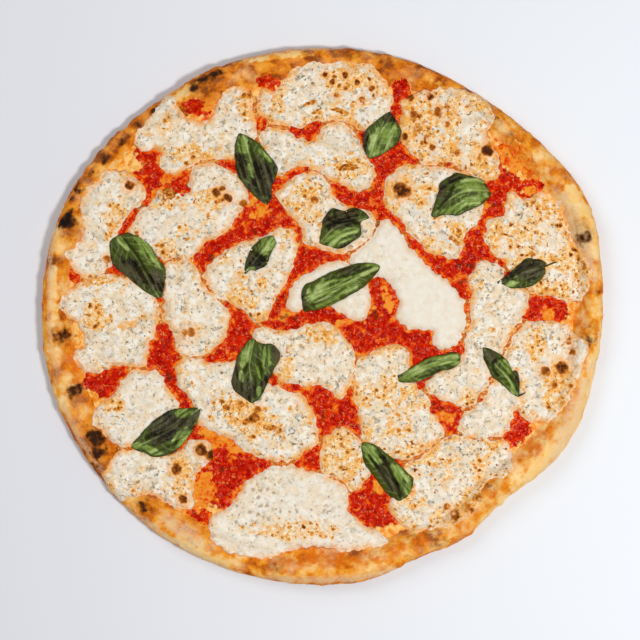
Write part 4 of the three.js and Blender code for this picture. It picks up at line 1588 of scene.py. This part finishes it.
    def _slice(self, each: Slice, carriers: list[BVHTree], material: bpy.types.Material) -> BVHTree:
        """Make one slice on what carries it.

        Args:
            each: The slice.
            carriers: Surfaces of the dough and the sauce.
            material: Its finish.

        Returns:
            An index of its surface.
        """
        sheet = Sheet(each.loop, self.step * COARSER)
        extra, bottom = sheet.underside()
        depth = sheet.depth
        ground = np.maximum(height_on(carriers, sheet.places), self.overhang)
        height = ground - self.sunk + self._body(each, sheet.places, depth)
        rim = points_of(sheet.edges)
        height[rim] = ground[rim] - self.sunk
        floor = np.maximum(height_on(carriers, extra), self.overhang) - self.sunk
        upper, lower = np.column_stack([sheet.places, height]), np.column_stack([extra, floor])
        faces = shell(sheet.faces, bottom)
        piece = new_piece(f"{each.node}_melted", np.vstack([upper, lower]), faces)
        marks = self._marks(each, sheet.places, depth)
        return finish_piece(piece, marks, material, each.node)

    def _body(self, each: Slice, places: np.ndarray, depth: np.ndarray) -> np.ndarray:
        """Work out the thickness of a slice.

        Args:
            each: The slice.
            places: Points on the plan.
            depth: How far in from its edge they lie.

        Returns:
            The thickness at each point, from the sunk edge up.
        """
        full = 1.0 - np.exp(-depth / self.lip)
        swell = self.swell * NOISE.rough(places, 16.0) + self.swell * OTHER_NOISE.rough(places, 6.0)
        ripple = self.ripple * THIRD_NOISE.rough(places, 3.6) + self.grit * NOISE.at(places, 1.5)
        ripple *= (1.0 - 0.6 * each.calm) * ease(depth, 0.0, 2.0)
        body = (each.thickness + self.sunk) * full * (1.0 + swell) + ripple
        for x, y, radius, _ in self.blisters:
            near, _, reach = near_to(places, (x, y), radius, 1.6)
            ring = bell(reach - 0.6, 0.4) - 0.3 * bell(reach, 0.4)
            body[near] += self.blister_rise * radius * ring * ease(depth[near], 0.0, 2.0)
        return body

    def _marks(self, each: Slice, places: np.ndarray, depth: np.ndarray) -> dict[str, np.ndarray]:
        """Work out where a slice is toasted, oily or plain.

        Args:
            each: The slice.
            places: Points on the plan.
            depth: How far in from its edge they lie.

        Returns:
            Numbers for each point, by the name that the finish reads.
        """
        ring = np.zeros(len(places))
        glow = np.zeros(len(places))
        for x, y, radius, strength in self.blisters:
            near, local, reach = near_to(places, (x, y), radius, 2.2)
            reach += 0.34 * NOISE.rough(local, radius)
            uneven = 0.66 + 0.8 * OTHER_NOISE.rough(local, 0.9 * radius)
            level = (1.0 - ease(reach, 0.4, 1.2)) * (uneven + 0.3)
            ring[near] = np.maximum(ring[near], strength * np.clip(level, 0.0, 1.0))
            glow[near] = np.maximum(glow[near], 0.66 * strength * bell(reach - 1.25, 0.42))
        patches = patched(places, self.scorched, 0.7)
        patches *= 0.25 + 0.7 * np.abs(OTHER_NOISE.rough(places, 2.6))
        strewn = ease(THIRD_NOISE.rough(places, 3.6), 0.9 - 0.42 * each.toasting, 1.15) * 0.9
        strewn *= each.toasting * ease(depth, 0.6, 2.0)
        toast = np.maximum.reduce([ring, patches, strewn])
        oil = ease(NOISE.rough(places, 9.0), -0.3, 0.4) * (1.0 - ease(depth, 0.5, 6.0))
        oil *= 0.95 * (1.0 - 0.7 * each.calm)
        oil = np.maximum.reduce([oil, glow, patched(places, self.bright, 0.5)])
        calm = np.clip(each.calm + 0.35 * OTHER_NOISE.rough(places, 14.0), 0.0, 1.0)
        fried = ease(NOISE.rough(places, 10.0) + 1.1 * each.toasting - 0.7, 0.0, 0.8)
        fried += 0.5 * (1.0 - ease(depth, 1.0, 5.0)) * (1.0 - 0.7 * each.calm)
        fried = np.maximum(fried, patched(places, self.browned + self.scorched, 0.5))
        return {
            "depth": depth, "toast": toast, "oil": oil, "calm": calm, "fried": np.clip(fried, 0, 1),
            "dimpled": patched(places, self.dimpled, 0.4),
        }


# ---- Basil ------------------------------------------------------------------------------------
Line = tuple[Place, ...]


@dataclass
class Leaf:
    """One wilted basil leaf."""

    name: str
    outline: Line
    midrib: Line
    dome: float = 2.2
    fresh: Blobs = ()
    wilted: Blobs = ()
    creases: tuple[Line, ...] = ()
    stalk: Line = ()
    pitch: float = 6.0  # between side veins

    @property
    def node(self) -> str:
        """Name of its solid."""
        return f"basil_{self.name}"


@dataclass
class Basil:
    """The leaves on top, draped over what lies under them."""

    step: float = 0.6
    thickness: float = 0.5
    lift: float = 0.7
    wave: float = 0.5
    pucker: float = 0.18
    rib_depth: float = 0.9
    rib_width: float = 1.5
    vein_slant: float = 0.85
    vein_wander: float = 0.35
    quilting: float = 0.28  # how far the blade swells between its side veins
    crease_depth: float = 1.3
    crease_width: float = 0.9
    fold_length: float = 12.0
    fold_width: float = 1.9
    fold_height: float = 0.7
    post_step: float = 2.0  # between the points where the ground under a leaf is read
    post_reach: float = 3.0
    settling: float = 3.2
    bearing: tuple[float, float] = (0.45, 0.55)  # shares of the usual and the greatest height
    stalk_radii: tuple[float, float] = (0.75, 0.55)  # at the leaf and at the cut end
    stalk_sunk: float = 0.3
    stalk_marks: tuple[tuple[str, float], ...] = (("depth", 0.6), ("wilt", 1.0), ("streak", 0.5))
    leaves: tuple[Leaf, ...] = (
        Leaf(
            "west",
            ((-147, 36.5), (-139.5, 29.5), (-127.5, 19.5), (-115.5, 13), (-112, 20.5),
             (-110.5, 33), (-116.5, 41.5), (-123, 52), (-135.5, 58.5), (-139.5, 59), (-150, 52)),
            ((-143, 56.5), (-131, 41), (-115.5, 13.5)),
            fresh=((-124, 47, 13, 4.5, -52), (-141, 52, 7, 2, -50)),
            wilted=((-134, 32, 13, 8, -40), (-117, 24, 10, 7, -60)),
            creases=(((-140, 54), (-131, 43), (-120, 24)), ((-133, 38), (-124, 24))),
        ),
        Leaf(
            "north_west",
            ((-60, 126), (-62, 117.5), (-60, 101), (-55.5, 93.5), (-48.5, 85.5), (-39.5, 79.5),
             (-36, 84.5), (-35.5, 92.5), (-32, 101), (-32, 105.5), (-37, 113), (-46.5, 123.5),
             (-57.5, 129)),
            ((-40, 80), (-46, 96), (-56, 127.5)),
            fresh=((-56, 121, 7, 4, 100), (-50.5, 103, 7, 2.2, 105), (-41, 114, 7, 1.6, 135)),
            wilted=((-43, 97, 16, 10, 110), (-56, 105, 12, 4, 100)),
            creases=(((-52, 122), (-46, 104), (-41, 86)), ((-58, 112), (-55, 99))),
        ),
        Leaf(
            "centre_left",
            ((-51, 32.5), (-46.5, 32.5), (-40, 36), (-38, 39.5), (-36.5, 44), (-32.5, 51.5),
             (-33, 53.5), (-35, 57), (-42.5, 55), (-49, 49.5), (-51.5, 45), (-55, 36),
             (-54.5, 30)),
            ((-54, 31.5), (-42.5, 45.5), (-35, 55.5)), dome=1.8, pitch=4.0,
            fresh=((-38.5, 50.5, 8, 5, 60), (-50, 33.5, 3.5, 1.6, 0)),
            wilted=((-47, 39, 9, 7, 60),),
            creases=(((-50, 47), (-44, 42), (-39, 38)),),
        ),
        Leaf(
            "north",
            ((36, 112), (44, 115.5), (53, 122.5), (54.5, 126.5), (55.5, 131), (53, 136.5),
             (48.5, 143.5), (46.5, 144), (40, 139.5), (31.5, 132.5), (29, 128), (28.5, 123.5),
             (29, 118), (33, 111.5)),
            ((33.5, 112.5), (38, 126.5), (46, 143)), dome=3.0,
            fresh=((42, 124, 13, 8, 55), (50, 130, 5, 3, 80)),
            wilted=((46.5, 122.5, 4, 3, 20), (47, 140, 5, 5, 0), (30.5, 124, 9, 1.8, 85)),
        ),
        Leaf(
            "centre_top",
            ((4, 49.5), (13, 48), (20, 52), (27, 57.5), (27, 66.5), (33, 70), (23.5, 76.5),
             (15, 74.5), (6.5, 76), (0.5, 68.5), (0, 62.5), (-2, 52.5)),
            ((-1, 53), (10, 63), (30.5, 69)), dome=3.0,
            fresh=((12, 55.5, 13, 5, 22),),
            wilted=((14, 69, 15, 7, 12), (16, 49.5, 12, 1.6, 30)),
            creases=(((2, 63), (9, 66.5), (20, 67.5), (26, 65.5)), ((8, 74), (10, 68)),
                     ((17, 74), (17.5, 69)), ((3, 70), (7, 66))),
        ),
        Leaf(
            "centre",
            ((-14, 20), (-13.5, 4.5), (-9, 4), (3, 6.5), (17, 13.5), (30.5, 22), (40, 33),
             (38, 37), (25, 37.5), (17, 35), (6.5, 31.5), (-5.5, 25.5)),
            ((-13, 10), (12.5, 21.5), (39, 34)), dome=4.0,
            fresh=((2, 16, 14, 9, 26), (32, 33, 8, 4, 30), (16, 22, 12, 6, 28)),
            wilted=((-13, 12, 2, 7, 0), (19, 33, 10, 2, 14)),
            creases=(((-7, 8), (5, 13), (16, 20.5)), ((11, 27), (22, 30), (34, 34.5))),
        ),
        Leaf(
            "east_inner",
            ((87, 71.5), (96, 71), (102.5, 74.5), (112, 79), (119, 86.5), (116, 92), (111, 97),
             (96, 101), (90, 98.5), (82.5, 93.5), (81.5, 86.5), (77, 71)),
            ((117.5, 88.5), (101, 88.5), (89, 82), (79.5, 72.5)), dome=3.4,
            fresh=((104, 90, 13, 8, 12), (100, 78, 18, 4, 22)),
            wilted=((84, 88, 4, 9, 12), (93, 97, 6, 3, 20)),
            creases=(((92, 92), (88, 84), (82, 76)),),
        ),
        Leaf(
            "east",
            ((157, 34.5), (156, 39), (144.5, 41), (139, 37), (136, 34.5), (129, 28.5),
             (123.5, 24), (126.5, 23), (131.5, 20), (137.5, 20), (145, 20.5), (151, 23.5),
             (156.5, 29.5)),
            ((157, 35), (143.5, 31.5), (136, 28), (125, 23.5)), dome=1.8, pitch=5.0,
            fresh=((133, 23, 5, 2.6, 10),),
            wilted=((147, 33, 11, 8, 20), (131, 27, 6, 4, 40)),
            creases=(((152, 37), (143, 34), (136, 31)),),
            stalk=((167.5, 39), (162, 37.5), (156, 35)),
        ),
        Leaf(
            "south_west",
            ((-125, -96.5), (-119.5, -99), (-114, -99), (-109.5, -97.5), (-103.5, -94.5),
             (-98, -89.5), (-92, -81), (-88, -73), (-86, -65.5), (-87.5, -64.5), (-98, -64.5),
             (-104.5, -65.5), (-111, -68), (-120, -74.5), (-132, -87.5), (-134, -92.5)),
            ((-133, -91.5), (-125, -89), (-107.5, -80), (-87, -65)),
            fresh=((-98, -68, 7, 3.5, -5), (-100, -86, 9, 4.5, 45), (-121, -94, 8, 2.4, -20),
                   (-131, -91, 4, 2, 10), (-88, -74, 5, 2, 65)),
            wilted=((-110, -79, 17, 9, 38), (-92, -73, 7, 5, 40)),
            creases=(((-90, -78), (-100, -82), (-105, -92)), ((-94, -69), (-101, -77))),
        ),
        Leaf(
            "south_centre",
            ((-48.5, -16), (-52.5, -17.5), (-58.5, -25.5), (-60.5, -31), (-64, -43.5),
             (-64, -47.5), (-61.5, -52.5), (-51, -60.5), (-47, -60), (-43, -56.5), (-36.5, -42),
             (-34, -36), (-31.5, -32), (-30, -27.5), (-31, -24), (-35.5, -19.5),
             (-40.5, -19.5), (-45.5, -18)),
            ((-48.5, -16.5), (-50.5, -28), (-51.5, -35.5), (-50.5, -42), (-49.5, -59.5)),
            dome=3.2, pitch=7.0,
            fresh=((-40, -30, 10, 3.4, 95), (-54, -26, 11, 3.4, 72), (-44, -39, 7, 2, 110),
                   (-57, -42, 5, 2, 95), (-45, -53, 4, 1.8, 80)),
            wilted=((-32.5, -26, 7, 3.4, 105), (-61, -42, 12, 4, 90), (-53, -53, 9, 8, 70),
                    (-41, -48, 8, 3, 65)),
            creases=(((-45, -34), (-40, -45)), ((-53, -34), (-57, -44), (-57, -52)),
                     ((-48, -42), (-47, -56))),
        ),
        Leaf(
            "south",
            ((28, -97), (30, -104), (33, -108.5), (37, -114), (46.5, -126), (50.5, -128),
             (54.5, -130), (60.5, -125.5), (63, -121.5), (64, -115.5), (62, -112),
             (54.5, -104.5), (47.5, -98.5), (39, -91.5), (34.5, -89.5), (30, -89), (27.5, -91)),
            ((57, -128.5), (44, -109.5), (29.5, -91.5)), dome=3.4,
            fresh=((34, -97, 9, 6, -55), (56, -113, 12, 4.5, -52), (60, -121, 5, 3, -60)),
            wilted=((45, -111, 16, 4.5, -55), (42, -101, 6, 3, -50)),
            creases=(((38, -94), (47, -107), (55, -127)), ((33, -98), (40, -108), (48, -121)),
                     ((42, -104), (46, -104))),
        ),
        Leaf(
            "south_east_inner",
            ((54, -46), (58.5, -46.5), (65.5, -46), (73, -44), (78, -41.5), (83.5, -38.5),
             (90, -37.5), (94, -35.5), (97, -32), (97, -28), (95.5, -25.5), (90.5, -25),
             (86.5, -26.5), (79, -28), (73, -30), (64, -35.5), (56, -40.5), (53, -42.5)),
            ((54, -44), (73, -34.5), (95.5, -28.5)), dome=3.6, pitch=5.0,
            fresh=((76, -36, 22, 7, 24), (90, -31, 8, 5, 20)),
            wilted=((72, -31, 12, 1.4, 24),),
            creases=(((68, -43.5), (76, -41), (82, -38)),),
        ),
        Leaf(
            "south_east",
            ((113.5, -27.5), (115, -33.5), (117.5, -38), (120.5, -43), (128, -49.5), (133, -54),
             (137, -56.5), (138.5, -56), (139, -50), (138.5, -44), (137.5, -39.5), (136, -38),
             (134, -39), (132.5, -34.5), (130, -30.5), (125, -26), (121.5, -24.5),
             (116.5, -22), (113, -22)),
            ((137.5, -55.5), (130, -42.5), (122.5, -35), (114, -23)), dome=2.6, pitch=5.0,
            fresh=((127, -35, 7, 5, -50), (131, -47, 10, 3.4, -52)),
            wilted=((118, -27, 7, 5, -55), (137, -43, 7, 2, -80)),
            creases=(((128, -28.5), (121, -31.5), (120, -36), (123, -42)),
                     ((129, -39), (134, -45), (137, -52))),
            stalk=((146, -49), (143, -53.5), (138, -56)),
        ),
    )

    def build(self, carriers: list[BVHTree], material: bpy.types.Material) -> None:
        """Lay every leaf on what carries it."""
        for leaf in self.leaves:
            self._leaf(leaf, carriers, material)

    def _bearing(self, sheet: Sheet, carriers: list[BVHTree]) -> np.ndarray:
        """Work out the soft height at which a leaf comes to lie.

        Args:
            sheet: The leaf, cut flat.
            carriers: Surfaces under it.

        Returns:
            The height at each of the sheet's points.
        """
        posts = lattice(sheet.outline, self.post_step)
        tops = height_on(carriers, posts)
        gap = np.linalg.norm(sheet.places[:, None] - posts[None], axis=2)
        weight = bell(gap, self.settling)
        usual = (weight * tops).sum(axis=1) / weight.sum(axis=1)
        highest = np.where(gap < self.post_reach, tops, 0.0).max(axis=1)
        return self.bearing[0] * usual + self.bearing[1] * highest

    def _leaf(self, leaf: Leaf, carriers: list[BVHTree], material: bpy.types.Material) -> None:
        """Make one leaf.

        Args:
            leaf: The leaf.
            carriers: Surfaces under it.
            material: Its finish.
        """
        outline = curve_through(leaf.outline, 0.7 * COARSER, closed=True)
        outline = ragged(outline, ((5.0, 0.35), (1.6, 0.18)))
        sheet = Sheet(outline, self.step * COARSER)
        rib = curve_through(leaf.midrib, 1.0, closed=False)
        along, side = nearest_on(sheet.places, rib)
        depth = sheet.depth
        widest = depth.max()
        height = self._bearing(sheet, carriers) + self.lift
        height += leaf.dome * (1.0 - (1.0 - np.clip(depth / widest, 0, 1)) ** 2)
        height += (
            self.wave * NOISE.rough(sheet.places, 7.0)
            + self.pucker * OTHER_NOISE.rough(sheet.places, 2.4)
        )
        height -= self.rib_depth * bell(side, self.rib_width)
        crease_dip_and_shade = np.zeros(len(height))
        for line in leaf.creases:
            _, gap = nearest_on(sheet.places, curve_through(line, 1.0, closed=False))
            crease_dip_and_shade = np.maximum(crease_dip_and_shade, bell(gap, self.crease_width))
            height += self.crease_depth * (0.5 * np.exp(-((np.abs(gap) - 2.6) ** 2) / 2.5))
        height -= self.crease_depth * crease_dip_and_shade
        wander = self.vein_wander * NOISE.at(sheet.places, 6.0)
        phase = (along - self.vein_slant * np.abs(side)) / leaf.pitch + wander
        rib_gap = np.abs(phase - np.round(phase)) * leaf.pitch
        inner = ease(depth, 0.6, 2.0)
        vein = np.maximum(bell(rib_gap, 0.4) * inner * 0.42, 0.8 * bell(side, 0.45))
        height += self.quilting * np.abs(np.sin(math.pi * phase)) * inner
        run = np.column_stack([along / self.fold_length, side / self.fold_width])
        fold = THIRD_NOISE.rough(run + len(leaf.name), 1.0, 3)
        height += self.fold_height * fold * inner
        bright = patched(sheet.places, leaf.fresh, 0.35)
        wilt = patched(sheet.places, leaf.wilted, 0.35) * (1.0 - 0.9 * bright)
        # The fold's height is also painted: highlight on its ridges, shade in its troughs and
        # creases.
        marks = {
            "depth": depth, "vein": vein * (1.0 - crease_dip_and_shade) * (1.0 - 0.8 * wilt),
            "crease_dip_and_shade": 0.7 * crease_dip_and_shade, "bright": bright, "wilt": wilt, "streak": 0.5 + 0.7 * fold,
        }
        self._make(leaf, sheet, height, marks, material)

    def _make(
        self, leaf: Leaf, sheet: Sheet, height: np.ndarray, marks: dict[str, np.ndarray],
        material: bpy.types.Material,
    ) -> None:
        """Close the leaf with an underside, add its stalk and dress it.

        Args:
            leaf: The leaf.
            sheet: The leaf, cut flat.
            height: Height of each of the sheet's points.
            marks: Numbers for the finish.
            material: Its finish.
        """
        count = len(height)
        upper = np.column_stack([sheet.places, height])
        lower = np.column_stack([sheet.places, height - self.thickness])
        under = [[count + index for index in reversed(face)] for face in sheet.faces]
        walls = [[end, start, count + start, count + end] for start, end in sheet.edges]
        places = np.vstack([upper, lower])
        faces = sheet.faces + under + walls
        marks = {name: np.tile(values, 2) for name, values in marks.items()}
        if leaf.stalk:
            start = height[np.linalg.norm(sheet.places - leaf.stalk[-1], axis=1).argmin()]
            tube, rings = stalk_tube(leaf.stalk, start - self.stalk_sunk, *self.stalk_radii)
            faces += [[index + len(places) for index in ring] for ring in rings]
            places = np.vstack([places, tube])
            for name, level in self.stalk_marks:
                marks[name] = np.append(marks[name], np.full(len(tube), level))
        piece = new_piece(f"{leaf.node}_wilted", places, faces)
        finish_piece(piece, marks, material, leaf.node)


def stalk_tube(
    line: Line, height: float, thick: float, thin: float, sides: int = 10
) -> tuple[np.ndarray, Faces]:
    """Sweep a bare stalk along a line, from its cut end to the leaf.

    Args:
        line: The route on the plan.
        height: Height of its middle line.
        thick: Radius at the leaf.
        thin: Radius at the cut end.
        sides: Number of sides.

    Returns:
        The points and the faces of the closed tube.
    """
    route = curve_through(line, 0.8, closed=False)
    run = np.gradient(route, axis=0)
    run /= np.linalg.norm(run, axis=1, keepdims=True)
    places = []
    for share, middle, ahead in zip(np.linspace(0.0, 1.0, len(route)), route, run):
        radius = thin + (thick - thin) * share
        for turn in np.linspace(0.0, 2 * math.pi, sides, endpoint=False):
            beside = radius * math.cos(turn)
            places.append((
                middle[0] - ahead[1] * beside, middle[1] + ahead[0] * beside,
                height + radius * math.sin(turn),
            ))
    faces = [list(range(sides))[::-1], list(range(len(places) - sides, len(places)))]
    for ring in range(len(route) - 1):
        for step in range(sides):
            a, b = ring * sides + step, ring * sides + (step + 1) % sides
            faces.append([a, b, b + sides, a + sides])
    return np.array(places), faces


# ---- Stage ------------------------------------------------------------------------------------
@dataclass
class Studio:
    """A pale floor, an even light with soft lamps at two sides, and a camera overhead."""

    camera_height: float = 1.4  # metres above the pizza
    top: float = 0.009  # height in metres at which the width is measured
    view_width: float = 0.4512  # metres that the camera sees across
    aim: Place = (-1.76, -2.47)
    sensor: float = 36.0
    drop: float = 0.0002  # metres from the pizza down to the floor
    floor: Color = rgb(222, 223, 229)
    # Painted light: the floor's colour runs from the one above, on the left, to this brighter one
    # on the right.
    lit_floor: Color = rgb(243, 247, 251)  # to the right
    sky: float = 0.3
    lamps: tuple[tuple[str, tuple[float, float, float], float, float], ...] = (
        ("key", (0.62, -0.32, 1.42), 0.3, 14.6),
        ("fill", (-0.9, 0.7, 1.2), 1.0, 7.4),
    )  # name, place in metres, size in metres, watts

    def build(self) -> None:
        """Make the floor, the lights and the camera."""
        self._floor()
        self._lights()
        self._camera()
        bpy.context.scene.view_settings.view_transform = "Standard"

    def _floor(self) -> None:
        """Lay the floor just under the pizza, with painted light that makes it brighter to the
        right.
        """
        deselect_all()
        bpy.ops.mesh.primitive_grid_add(x_subdivisions=12, y_subdivisions=12, size=6.0)
        floor = bpy.context.object
        floor.name = "floor"
        g = Graph("pale_floor")
        parts = g.nodes.new("ShaderNodeSeparateXYZ")
        g.links.new(g.place, parts.inputs["Vector"])
        # Painted light: brighter towards the right.
        painted_light_falloff = g.span(parts.outputs["X"], -self.view_width, self.view_width)
        color = g.mix(painted_light_falloff, self.floor, self.lit_floor)
        floor.data.materials.append(g.dress(Base_Color=color, Roughness=0.8))
        floor.location.z = -self.drop
        bpy.ops.object.transform_apply(location=True)

    def _lights(self) -> None:
        """Light the pizza evenly, and more from the right than from the left."""
        world = bpy.data.worlds.new("even_light")
        world.use_nodes = True
        background = world.node_tree.nodes["Background"]
        background.inputs["Color"].default_value = (0.985, 0.99, 1.0, 1.0)
        background.inputs["Strength"].default_value = self.sky
        bpy.context.scene.world = world
        for name, place, size, watts in self.lamps:
            lamp = bpy.data.lights.new(name, "AREA")
            lamp.energy = watts
            lamp.shape = "DISK"
            lamp.size = size
            holder = add_object(name, lamp)
            holder.location = place
            holder.rotation_euler = (-Vector(place)).to_track_quat("-Z", "Y").to_euler()

    def _camera(self) -> None:
        """Hang the camera straight above."""
        lens = bpy.data.cameras.new("overhead")
        lens.sensor_width = self.sensor
        lens.lens = self.sensor * self.camera_height / self.view_width
        camera = add_object("overhead", lens)
        camera.location = (self.aim[0] * MM, self.aim[1] * MM, self.camera_height + self.top)
        bpy.context.scene.camera = camera


def main() -> None:
    """Build the pizza from the dough up."""
    logging.basicConfig(level=logging.INFO, format="%(name)s: %(message)s")
    Studio().build()
    crust = Crust()
    crust.build(BakedDough().material())
    cheese = Cheese()
    loops = cheese.outlines()
    sauce = Sauce().build(crust, loops, TomatoSauce().material())
    slices = cheese.build([crust.surface, sauce], MeltedMozzarella().material())
    Basil().build([crust.surface, sauce, *slices], WiltedBasil().material())


if __name__ == "__main__":
    main()
